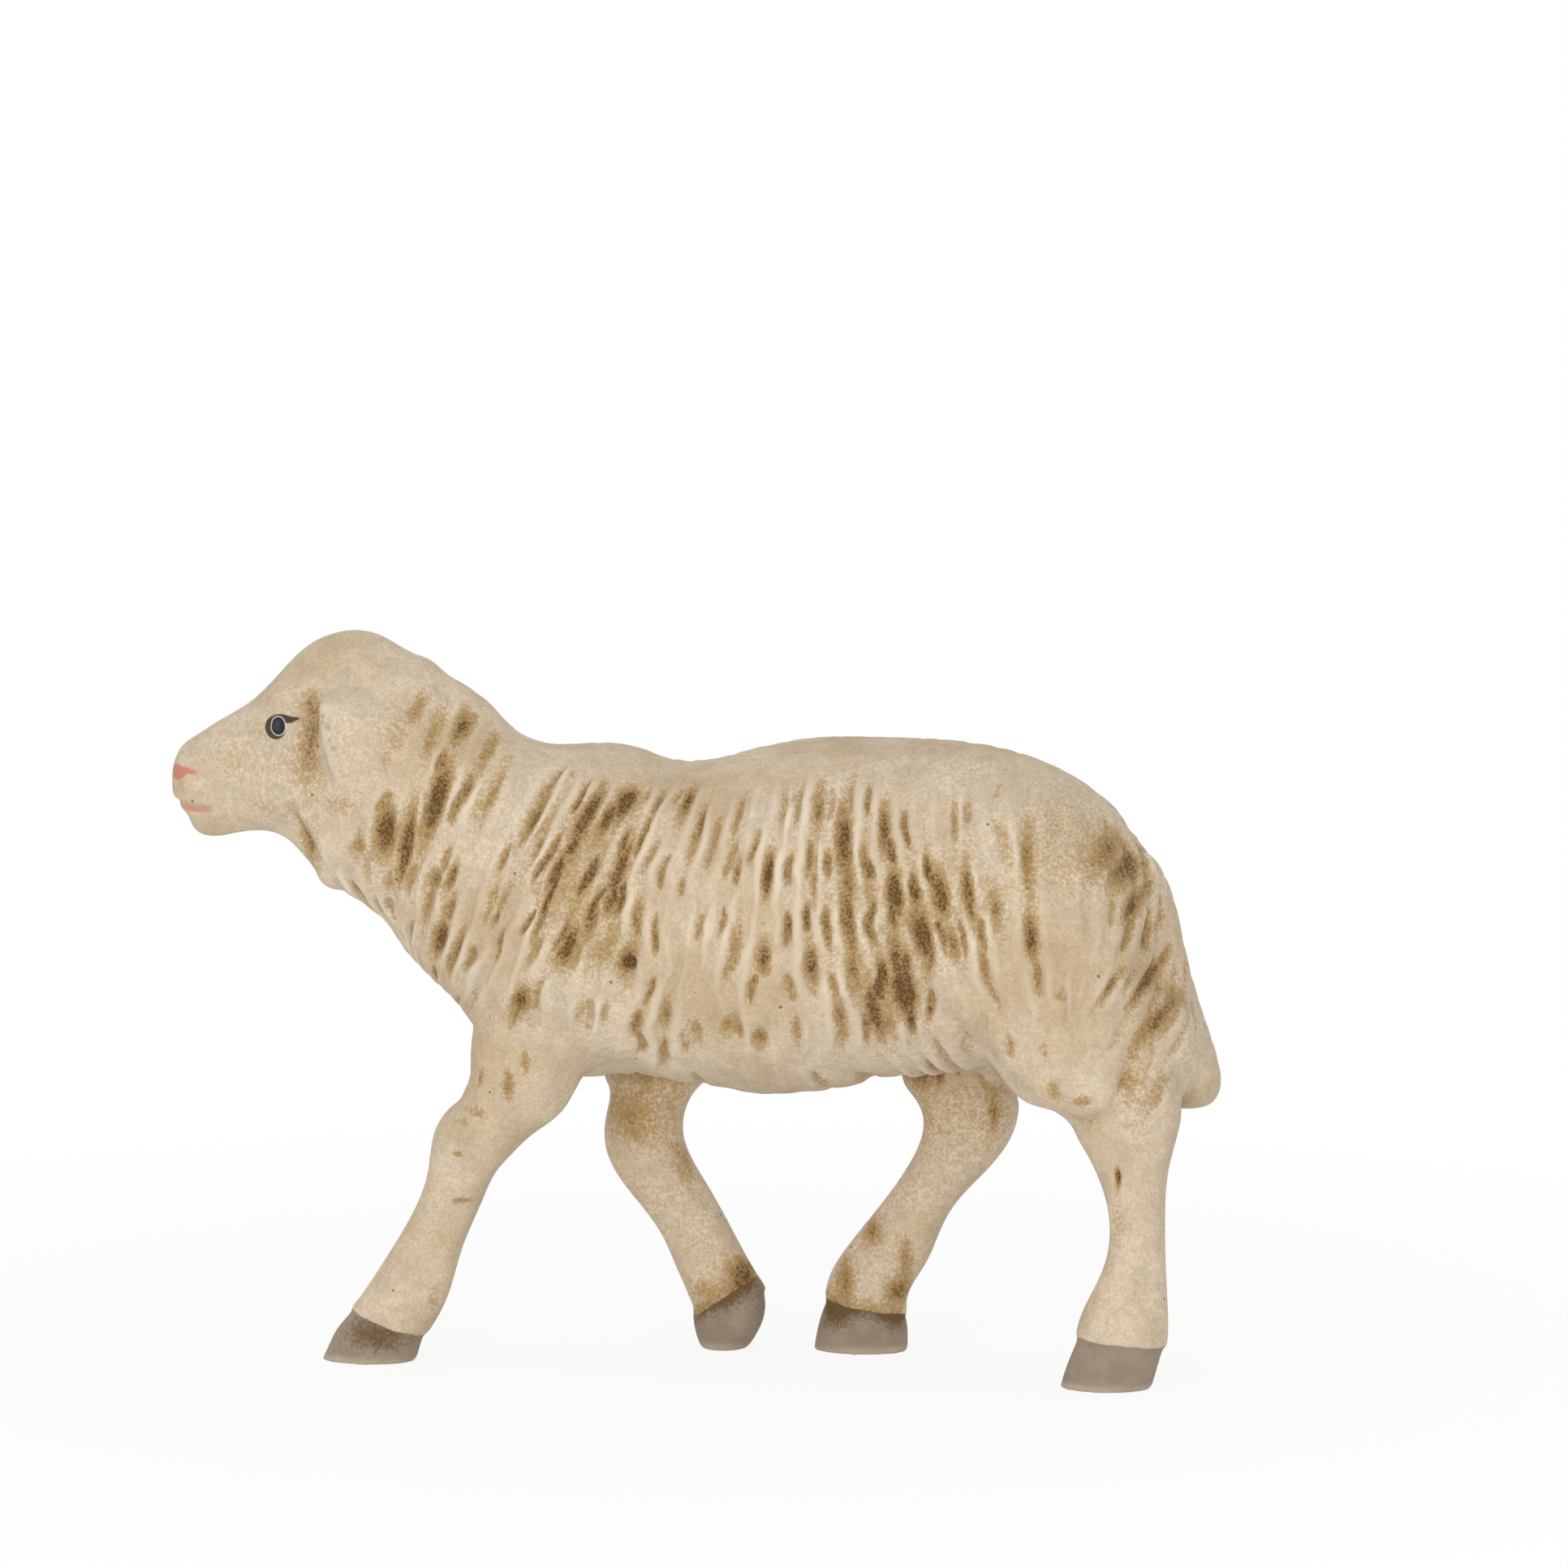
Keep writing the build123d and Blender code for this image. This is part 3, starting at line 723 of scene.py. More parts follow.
def fleece_tree():
    """The tree that carves the fleece: soft ridges along the strands, and short hollows between."""
    group = bpy.data.node_groups.new("Fleece", "GeometryNodeTree")
    face = group.interface
    face.new_socket("Geometry", in_out="INPUT", socket_type="NodeSocketGeometry")
    for name in ("Groove Width", "Groove Length", "Depth", "Wander"):
        face.new_socket(name, in_out="INPUT", socket_type="NodeSocketFloat")
    face.new_socket("Seed", in_out="INPUT", socket_type="NodeSocketInt")
    face.new_socket("Material", in_out="INPUT", socket_type="NodeSocketMaterial")
    face.new_socket("Geometry", in_out="OUTPUT", socket_type="NodeSocketGeometry")
    tree = Tree(group)
    start = tree.put("NodeGroupInput").outputs

    def attribute(name, kind="FLOAT"):
        return tree.put("GeometryNodeInputNamedAttribute", {"Name": name}, data_type=kind).outputs[0]

    def seeded(x, y):
        return tree.put("ShaderNodeCombineXYZ", {"X": x, "Y": y, "Z": start["Seed"]}).outputs[0]

    def chance(x, y):
        inputs = {"Vector": seeded(x, y)}
        return tree.put("ShaderNodeTexWhiteNoise", inputs, noise_dimensions="3D").outputs

    flow = attribute("flow", "FLOAT_VECTOR")
    cover, density, deep = attribute("cover"), attribute("density"), attribute("deep")
    stray = tree.vector("SUBTRACT", tree.noise(flow, 0.17)["Color"], (0.5, 0.5, 0.5))
    stray = tree.scaled(stray, start["Wander"])
    place = tree.vector("ADD", flow, tree.vector("MULTIPLY", stray, (2.0, 1.0, 0.0)))
    place = tree.put("ShaderNodeSeparateXYZ", {"Vector": place}).outputs
    across = tree.math("DIVIDE", place["X"], start["Groove Width"])
    row = tree.math("FLOOR", across)
    along = tree.math("DIVIDE", place["Y"], start["Groove Length"])
    along = tree.math("ADD", along, chance(row, 0.0)["Value"])
    cell = tree.math("FLOOR", along)
    luck = chance(row, cell)
    shape = tree.put("ShaderNodeSeparateXYZ", {"Vector": luck["Color"]}).outputs
    upright = tree.math("SUBTRACT", tree.math("SUBTRACT", along, cell), 0.5)
    lean = tree.math("MULTIPLY_ADD", shape["X"], 0.5, -0.25)
    aside = tree.math("MULTIPLY_ADD", upright, lean, tree.math("MULTIPLY_ADD", shape["Z"], 0.24, -0.62))
    aside = tree.math("ADD", tree.math("SUBTRACT", across, row), aside)
    aside = tree.math("DIVIDE", aside, tree.math("MULTIPLY_ADD", shape["X"], 0.16, 0.20))
    upright = tree.math("DIVIDE", upright, tree.math("MULTIPLY_ADD", shape["Y"], 0.22, 0.28))
    reach = tree.math("MULTIPLY_ADD", aside, aside, tree.math("MULTIPLY", upright, upright))
    present = tree.remap(
        luck["Value"], tree.math("SUBTRACT", density, 0.15), tree.math("ADD", density, 0.10), 1.0, 0.0
    )
    pit = tree.math("MULTIPLY", tree.remap(reach, 0.10, 1.0, 1.0, 0.0), present)
    pit = tree.math("MAXIMUM", tree.math("MULTIPLY", pit, 0.65), deep)
    trough = tree.remap(tree.math("PINGPONG", across, 0.5), 0.09, 0.42)
    cord = seeded(tree.math("MULTIPLY", across, 0.7), tree.math("MULTIPLY", along, 0.5))
    cord = tree.noise(cord, 1.0, 0.0)[0]
    ridge = tree.math("MULTIPLY", trough, tree.remap(cord, 0.35, 0.65, 0.20, 0.50))
    strand = tree.noise(seeded(tree.math("MULTIPLY", across, 3.2), along), 1.0)[0]
    height = tree.sway(tree.math("ADD", pit, ridge), strand, -0.35)
    height = tree.math("SUBTRACT", 0.25, height)
    height = tree.math("MULTIPLY", height, tree.math("MULTIPLY", cover, start["Depth"]))
    offset = tree.scaled(tree.put("GeometryNodeInputNormal").outputs[0], height)
    mark = tree.math("MULTIPLY", pit, cover)
    stored = tree.put(
        "GeometryNodeStoreNamedAttribute",
        {"Geometry": start["Geometry"], "Name": "pit", "Value": mark},
        data_type="FLOAT",
        domain="POINT",
    ).outputs[0]
    moved = tree.put("GeometryNodeSetPosition", {"Geometry": stored, "Offset": offset}).outputs[0]
    real = tree.put("GeometryNodeRealizeInstances", {"Geometry": moved}).outputs[0]
    inputs = {"Geometry": real, "Material": start["Material"]}
    painted = tree.put("GeometryNodeSetMaterial", inputs).outputs[0]
    tree.put("NodeGroupOutput", {"Geometry": painted})
    return group


def read_hollows(skin):
    """Marks the fine hollows where a wash would pool, and the broad ones such as creases between limbs,
    for painted shade.
    """
    normal = skin.normals()
    fine = skin.smoothed(skin.co, FINE_ROUNDS)
    broad = skin.smoothed(fine, BROAD_ROUNDS)
    skin.masks["hollow"] = ((fine - skin.co) * normal).sum(axis=1)
    skin.masks["crease"] = np.maximum(((broad - skin.co) * normal).sum(axis=1), 0.0)
    skin.masks["haze"] = skin.smoothed(skin.masks["groove"][:, None], HAZE_ROUNDS)[:, 0]


# Strokes of the wide wash brush that both sides share, some of them painted shade: centre, radii and
# strength, in millimetres
WASH_STROKES = {
    # Wash and painted shade in the crease in front of the ear
    "before the ear": ((-29.1, 5.5, 48.4), (0.9, 4.0, 3.6), 1.45),
    "behind the eye": ((-30.0, 5.0, 46.4), (1.6, 3.0, 1.8), 0.60),
    "temple": ((-30.2, 4.5, 51.0), (1.5, 3.5, 1.2), 0.70),
    "side of the nose": ((-36.5, 3.5, 46.0), (2.2, 3.0, 1.4), 0.40),
    "lower jaw": ((-33.0, 4.0, 42.8), (1.6, 3.0, 0.8), 0.40),
    "corner of the eye": ((-33.3, 4.0, 48.3), (1.0, 3.0, 0.8), 0.35),
    "jaw": ((-31.0, 4.5, 42.0), (2.5, 4.0, 0.9), 0.35),
    # Wash and painted shade in the crease under the jaw and under the ear
    "throat crease": ((-29.6, 4.0, 39.6), (0.8, 5.0, 2.6), 1.90),
    "under the ear": ((-26.8, 6.0, 43.2), (1.6, 3.0, 1.0), 0.70),
    "behind the ear": ((-22.6, 6.5, 49.5), (0.9, 4.0, 3.0), 0.40),
    "neck": ((-18.0, 7.0, 44.0), (4.0, 6.0, 6.0), 0.25),
    "throat": ((-22.5, 5.0, 39.5), (3.0, 6.0, 3.2), 0.45),
    "brisket": ((-18.0, 5.0, 32.5), (2.5, 6.0, 5.0), 0.35),
    "shoulder blade": ((-7.0, 11.0, 39.0), (4.5, 6.0, 6.0), 1.15),
    "elbow": ((-5.0, 12.0, 33.5), (3.6, 5.0, 2.0), 0.65),
    "point of the shoulder": ((-11.8, 10.0, 28.3), (2.0, 5.0, 2.0), 0.70),
    "withers": ((-5.0, 9.0, 44.0), (5.0, 5.0, 2.0), 0.20),
    "back": ((14.0, 0.0, 48.0), (22.0, 9.0, 3.0), 0.40),
    "upper rump": ((30.0, 6.0, 41.5), (4.5, 7.0, 5.0), 0.85),
    "face": ((-33.0, 4.0, 46.5), (5.0, 5.0, 5.0), 0.38),
    "ear": ((-25.5, 7.0, 48.0), (3.0, 4.0, 4.0), 0.40),
    # Wash and painted shade along the thigh and haunch folds
    "thigh fold": ((33.0, 8.5, 20.9), (2.4, 4.0, 0.6), 0.55),
    "haunch fold": ((35.3, 8.0, 23.4), (0.7, 4.0, 2.2), 0.60),
    "mid flank": ((17.5, 12.0, 38.0), (7.0, 6.0, 6.0), 0.88),
    "stifle": ((17.5, 11.0, 30.5), (3.0, 6.0, 3.5), 0.95),
    "belly edge": ((5.0, 9.0, 23.5), (9.0, 7.0, 2.0), 0.15),
    # Wash and painted shade along the flank fold
    "flank fold": ((23.0, 10.5, 27.0), (2.2, 4.0, 1.4), 0.45),
    "rump": ((35.0, 5.0, 40.0), (2.4, 7.0, 3.6), 0.70),
    # Wash and painted shade in the groove beside the tail
    "tail groove": ((36.0, 5.5, 29.0), (1.5, 4.0, 7.0), 0.95),
    "end of the tail": ((37.8, 2.5, 26.0), (1.8, 3.0, 2.8), 0.60),
    "tail": ((38.3, 3.2, 29.5), (1.6, 2.5, 6.0), 0.75),
    "hock": ((36.6, 6.0, 23.0), (1.3, 5.0, 3.6), 0.90),
}

# Strokes on one side only, as in the photograph
SINGLE_STROKES = {
    "near knee": ((-15.6, -7.4, 20.0), (1.1, 6.0, 0.7), 1.40),
    "near knee front": ((-16.8, -7.4, 19.2), (0.8, 6.0, 0.4), 1.30),
    "near forearm front": ((-15.3, -7.6, 22.6), (0.35, 6.0, 1.2), 1.40),
    "near forearm middle": ((-13.0, -8.0, 22.3), (0.55, 6.0, 1.4), 2.20),
    "near forearm rear": ((-11.5, -8.5, 24.2), (0.45, 6.0, 1.2), 1.70),
    "near cannon scratch": ((-17.0, -7.2, 13.0), (1.0, 6.0, 0.26), 2.20),
    "near knee scratch": ((-17.1, -7.2, 16.7), (0.50, 6.0, 0.24), 2.00),
    "near front heel": ((-19.3, -6.5, 4.8), (0.45, 6.0, 2.0), 0.95),
    "near hind streak": ((34.5, -8.0, 13.2), (0.60, 6.0, 2.5), 0.80),
    "near thigh front": ((26.6, -10.0, 27.1), (0.5, 6.0, 1.0), 1.60),
    "near thigh middle": ((29.3, -10.0, 26.9), (0.4, 6.0, 0.9), 1.30),
    "near thigh low": ((30.0, -9.5, 23.6), (0.6, 6.0, 1.0), 1.80),
    "near thigh rear": ((32.1, -9.0, 22.9), (0.9, 6.0, 0.5), 1.80),
    "far forearm": ((-5.0, 3.3, 18.8), (2.2, 4.0, 2.4), 0.60),
    "far forearm front": ((-5.7, 3.3, 17.8), (1.4, 4.0, 1.3), 0.90),
    "far front coronet": ((0.2, 3.6, 4.8), (1.3, 3.0, 0.7), 1.20),
    "far cannon": ((-1.6, 3.4, 14.9), (0.8, 3.0, 1.8), 1.10),
    "far front heel": ((2.8, 3.6, 6.1), (1.1, 3.0, 1.2), 2.40),
    # Painted shade where the far hind leg meets the belly
    "far thigh": ((17.2, 3.6, 22.3), (1.5, 3.0, 1.1), 1.80),
    "far hock": ((22.5, 4.4, 19.2), (0.35, 3.0, 1.3), 1.50),
    "far hind front": ((12.9, 4.3, 9.5), (0.8, 3.0, 1.0), 1.70),
    "far hind rear": ((15.5, 4.4, 7.6), (0.5, 3.0, 1.5), 1.50),
    "far hind edge": ((10.9, 4.4, 5.7), (0.7, 3.0, 1.3), 1.70),
    "far hind heel": ((15.0, 4.4, 4.9), (0.9, 3.0, 1.0), 2.20),
}

# Brown brushed over the grey of the hooves
HOOF_STROKES = {
    "near front": ((-23.7, -6.5, 2.3), (2.9, 6.0, 1.5), 1.15),
    "far front": ((2.4, 3.4, 4.4), (2.2, 3.0, 1.8), 0.70),
    "far hind toe": ((10.0, 4.0, 3.5), (1.7, 3.0, 1.6), 1.30),
    "far hind heel": ((15.0, 4.0, 3.4), (1.1, 3.0, 1.5), 1.40),
    "near hind": ((34.0, -9.0, 3.6), (3.0, 3.0, 0.8), 0.25),
}

# Flaws of the casting on the near side: centre, radii and depth, in millimetres
FLAWS = {
    "pinhole behind the elbow": ((-2.85, -11.8, 32.5), (0.28, 2.0, 0.26), 0.80),
    "slit in the near hind leg": ((34.5, -8.3, 16.7), (0.22, 1.5, 0.85), 0.50),
}


def brush_wash(skin):
    """Marks how much of the wash was left on by the strokes, and the painted shade on the insides of the
    legs.
    """
    _, y, z = skin.co.T
    facing = -skin.smoothed(skin.normals(), SIDE_ROUNDS)[:, 1] * np.sign(y)
    # Painted shade on the insides of the legs, below the belly
    inner_shade = ease(-0.1, 0.7, facing) * ease(24.0, 21.0, z)
    coronet = np.exp(-((skin.masks["hoof_rise"] / 0.8) ** 2))
    wash = strokes(skin.mirrored(), WASH_STROKES) + strokes(skin.co, SINGLE_STROKES)
    # The strokes of wash and painted shade, and painted shade on the insides of the legs, more under the
    # belly and just above the hooves
    skin.masks["wash"] = wash + inner_shade * (0.48 + 0.32 * ease(14.0, 20.5, z) + 1.2 * coronet)
    # Brown strokes on the hooves, and painted shade at the top of their insides
    skin.masks["hoof_wash_and_shade"] = 0.8 * inner_shade * coronet + strokes(skin.co, HOOF_STROKES)
    # The pinhole and the slit darkened by the wash in them and by painted shade inside
    for centre, radii, _ in FLAWS.values():
        skin.masks["groove"] = skin.masks["groove"] + 2.2 * blob(skin.co, centre, radii)


# Rims painted askew to their joint: where along they cross it, and the rise gained per millimetre
RIM_TILTS = {"front_right": (1.2, -0.45)}


def mark_hooves(skin, planes):
    """Marks how far each point lies above the line where its hoof begins."""
    rise = np.full(len(skin.co), 20.0)
    for leg in LEGS:
        point, outward = planes[f"hoof_{leg}"]
        near = near_leg(skin.co, leg)
        place, tilt = RIM_TILTS.get(leg, (0.0, 0.0))
        rise[near] = -((skin.co[near] - point) @ outward) + tilt * (skin.co[near, 0] - place)
    skin.masks["hoof_rise"] = rise


def near_leg(points, leg):
    """Which points belong to a leg's bare part."""
    low, high = node_box(f"shank_{leg}")
    low = np.minimum(low, node_box(f"hoof_{leg}")[0])
    return ((points > low - LEG_MARGIN) & (points < high + LEG_MARGIN)).all(axis=1)


def joint_planes():
    """The planes of the joints at the poll, the knees and the hooves."""
    planes = {"head": flat_faces("head")[0]}
    for leg in LEGS:
        planes[f"shank_{leg}"], planes[f"hoof_{leg}"] = flat_faces(f"shank_{leg}")
    return planes


NORMAL_AXES = ("normal_x", "normal_y", "normal_z")


class Form:
    """The carved skin, cut along the joints and sorted into pieces."""

    def __init__(self, skin, planes):
        self.planes = planes
        mesh = bpy.data.meshes.new("form")
        mesh.from_pydata(skin.co, [], skin.faces, shade_flat=False)
        masks = dict(skin.masks)
        masks.update(zip(NORMAL_AXES, skin.normals().T))
        for name, values in masks.items():
            store(mesh, name, values)
        work = bmesh.new()
        work.from_mesh(mesh)
        for point, outward in self.planes.values():
            self.cut(work, point, outward)
        work.to_mesh(mesh)
        work.free()
        self.co = read(mesh.vertices, "co", 3)
        self.loops = read(mesh.loops, "vertex_index", 1, np.int32)
        self.totals = read(mesh.polygons, "loop_total", 1, np.int32)
        self.masks = {name: read(mesh.attributes[name].data, "value", 1) for name in masks}
        self.sort_faces(read(mesh.polygons, "center", 3))
        bpy.data.meshes.remove(mesh)

    @staticmethod
    def cut(work, point, outward):
        """Cuts the faces around a joint along its plane."""
        point, outward = Vector(point), Vector(outward)
        faces = [
            face for face in work.faces if (face.calc_center_median() - point).length < CUT_REACH
        ]
        edges = {edge for face in faces for edge in face.edges}
        corners = {corner for face in faces for corner in face.verts}
        geometry = [*corners, *edges, *faces]
        bmesh.ops.bisect_plane(work, geom=geometry, dist=1e-4, plane_co=point, plane_no=outward)

    def sort_faces(self, centres):
        """Gives each face the name of the casting it belongs to."""
        self.names = names = ["trunk", "head", "tail", *EARS, *SHANKS, *HOOVES]
        self.owner = np.zeros(len(centres), int)
        point, outward = self.planes["head"]
        ahead = (centres - point) @ outward < 0
        ahead &= np.linalg.norm(centres - point, axis=1) < HEAD_REACH
        self.owner[ahead] = names.index("head")
        for leg in LEGS:
            near = near_leg(centres, leg)
            for part in ("shank", "hoof"):
                point, outward = self.planes[f"{part}_{leg}"]
                side = 1 if part == "shank" else -1
                below = near & (side * ((centres - point) @ outward) < 0)
                self.owner[below] = names.index(f"{part}_{leg}")
        triangles = [node_triangles(name) for name in BODY]
        corners = np.concatenate(triangles).reshape(-1, 3)
        rows = np.arange(len(corners)).reshape(-1, 3)
        nearest = BVHTree.FromPolygons(corners.tolist(), rows.tolist())
        which = np.repeat(np.arange(len(BODY)), [len(part) for part in triangles])
        for name in ("tail", *EARS):
            low, high = node_box(name)
            inside = (centres > low - SEAT_MARGIN) & (centres < high + SEAT_MARGIN)
            for index in np.nonzero(inside.all(axis=1))[0]:
                if BODY[which[nearest.find_nearest(centres[index])[2]]] == name:
                    self.owner[index] = names.index(name)

    def piece(self, name):
        """A closed bmesh of one casting, cut out of the form."""
        chosen = self.owner == self.names.index(name)
        used, corners = np.unique(self.loops[np.repeat(chosen, self.totals)], return_inverse=True)
        starts = np.cumsum(self.totals[chosen]) - self.totals[chosen]
        mesh = bpy.data.meshes.new(name)
        mesh.vertices.add(len(used))
        mesh.vertices.foreach_set("co", self.co[used].ravel())
        mesh.loops.add(len(corners))
        mesh.loops.foreach_set("vertex_index", corners.ravel().astype(np.int32))
        mesh.polygons.add(len(starts))
        mesh.polygons.foreach_set("loop_start", starts.astype(np.int32))
        for mask, values in self.masks.items():
            store(mesh, mask, values[used])
        mesh.update(calc_edges=True)
        work = bmesh.new()
        work.from_mesh(mesh)
        bpy.data.meshes.remove(mesh)
        self.close(work)
        return work

    @staticmethod
    def close(work):
        """Fills each open rim: a flat one with a joint face, a bent one with a fan to a point inside."""
        rims = {edge for edge in work.edges if edge.is_boundary}
        while rims:
            rim = [rims.pop()]
            for edge in rim:
                found = {other for corner in edge.verts for other in corner.link_edges} & rims
                rims -= found
                rim.extend(found)
            points = np.array([edge.verts[0].co for edge in rim])
            centre = points.mean(axis=0)
            bend = np.linalg.svd(points - centre, full_matrices=False)[1][2]
            if bend / math.sqrt(len(points)) < FLAT_BEND:
                filled = bmesh.ops.holes_fill(work, edges=rim, sides=0)["faces"]
                bmesh.ops.triangulate(work, faces=filled)
                continue
            work.normal_update()
            outward = np.mean([edge.verts[0].normal for edge in rim], axis=0)
            inside = work.verts.new(centre - FAN_DEPTH * outward)
            for edge in rim:
                corner = edge.link_loops[0]
                work.faces.new((corner.link_loop_next.vert, corner.vert, inside))

    def finish(self, work, name, material, slot, *nodes):
        """Makes a bmesh an object of the part, with the skin's normals so that no joint line shows."""
        mesh = bpy.data.meshes.new(name)
        work.to_mesh(mesh)
        work.free()
        mesh.vertices.foreach_set("co", read(mesh.vertices, "co", 3).ravel() * MM)
        mesh.update()
        totals = read(mesh.polygons, "loop_total", 1, np.int32)
        smooth = np.repeat(read(mesh.polygons, "use_smooth", 1, bool), totals)
        flat_normals = np.repeat(read(mesh.polygons, "normal", 3), totals, axis=0)
        axes = [read(mesh.attributes[axis].data, "value", 1) for axis in NORMAL_AXES]
        corners = read(mesh.loops, "vertex_index", 1, np.int32)
        for axis in NORMAL_AXES:
            mesh.attributes.remove(mesh.attributes[axis])
        normals = np.where(smooth[:, None], np.column_stack(axes)[corners], flat_normals)
        mesh.normals_split_custom_set(normals.tolist())
        mesh.materials.append(material)
        piece = add_object(name, mesh)
        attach(piece, "root")
        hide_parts(*nodes)
        return piece


# The carved form, handed from one operator to the next and let go at the end
FORM = {}


class SHEEP_OT_carve_form(bpy.types.Operator):
    """Run the castings into one skin, model the features and carve the fleece"""

    bl_idname = "sheep.carve_form"
    bl_label = "Carve Form"

    def execute(self, context):
        settings = context.scene.sheep_fleece
        planes = joint_planes()
        skin = joined_skin(settings.voxel)
        shape_features(skin)
        carve_fleece(skin, settings, fleece_cover(skin, planes["head"]))
        read_hollows(skin)
        mark_hooves(skin, planes)
        brush_wash(skin)
        FORM["form"] = Form(skin, planes)
        return {"FINISHED"}


class SHEEP_OT_trunk(bpy.types.Operator):
    """Cut out the two halves of the trunk"""

    bl_idname = "sheep.trunk"
    bl_label = "Trunk"

    def execute(self, context):
        form = FORM["form"]
        whole = form.piece("trunk")
        material = fleece_paint(context.scene.sheep_paint)
        for side, name in zip((-1, 1), TRUNK_HALVES):
            half = whole.copy()
            geometry = [*half.verts, *half.edges, *half.faces]
            bmesh.ops.bisect_plane(
                half,
                geom=geometry,
                dist=1e-4,
                plane_co=(0, 0, 0),
                plane_no=(0, -side, 0),
                clear_outer=True,
            )
            form.close(half)
            form.finish(half, f"{name}_carved", material, "fleece", name)
        whole.free()
        return {"FINISHED"}


class SHEEP_OT_head(bpy.types.Operator):
    """Cut out the head and the ears"""

    bl_idname = "sheep.head"
    bl_label = "Head and Ears"

    def execute(self, context):
        form = FORM["form"]
        material = face_paint(context.scene.sheep_paint)
        for name in ("head", *EARS):
            form.finish(form.piece(name), f"{name}_carved", material, "fleece", name)
        return {"FINISHED"}


class SHEEP_OT_tail(bpy.types.Operator):
    """Cut out the tail"""

    bl_idname = "sheep.tail"
    bl_label = "Tail"

    def execute(self, context):
        form = FORM["form"]
        material = bpy.data.materials["Fleece"]
        form.finish(form.piece("tail"), "tail_carved", material, "fleece", "tail")
        return {"FINISHED"}


class SHEEP_OT_legs(bpy.types.Operator):
    """Cut out the shanks and the hooves"""

    bl_idname = "sheep.legs"
    bl_label = "Legs"

    def execute(self, context):
        form = FORM["form"]
        material = leg_paint(context.scene.sheep_paint)
        for names, slot in ((SHANKS, "shank"), (HOOVES, "hoof")):
            for name in names:
                form.finish(form.piece(name), f"{name}_carved", material, slot, name)
        return {"FINISHED"}


class SHEEP_OT_wires(bpy.types.Operator):
    """Give the hidden wires their steel"""

    bl_idname = "sheep.wires"
    bl_label = "Wires"

    def execute(self, context):
        material = drawn_steel()
        for name in WIRES:
            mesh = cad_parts[name].data
            mesh.materials.clear()
            mesh.materials.append(material)
        return {"FINISHED"}


def material_tree(name, roughness):
    """A new material with a Principled shader, as (material, tree, shader)."""
    material = bpy.data.materials.new(name)
    material.use_nodes = True
    tree = Tree(material.node_tree)
    shader = tree.nodes["Principled BSDF"]
    shader.inputs["Roughness"].default_value = roughness
    shader.inputs["Specular IOR Level"].default_value = 0.2
    shader.inputs["Sheen Weight"].default_value = 0.04
    return material, tree, shader


def shared_group(name, inputs, outputs):
    """A new shader node group with named sockets, as (group, tree, its inputs)."""
    group = bpy.data.node_groups.new(name, "ShaderNodeTree")
    for socket, kind in inputs.items():
        group.interface.new_socket(socket, in_out="INPUT", socket_type=f"NodeSocket{kind}")
    for socket, kind in outputs.items():
        group.interface.new_socket(socket, in_out="OUTPUT", socket_type=f"NodeSocket{kind}")
    tree = Tree(group)
    return group, tree, tree.put("NodeGroupInput").outputs


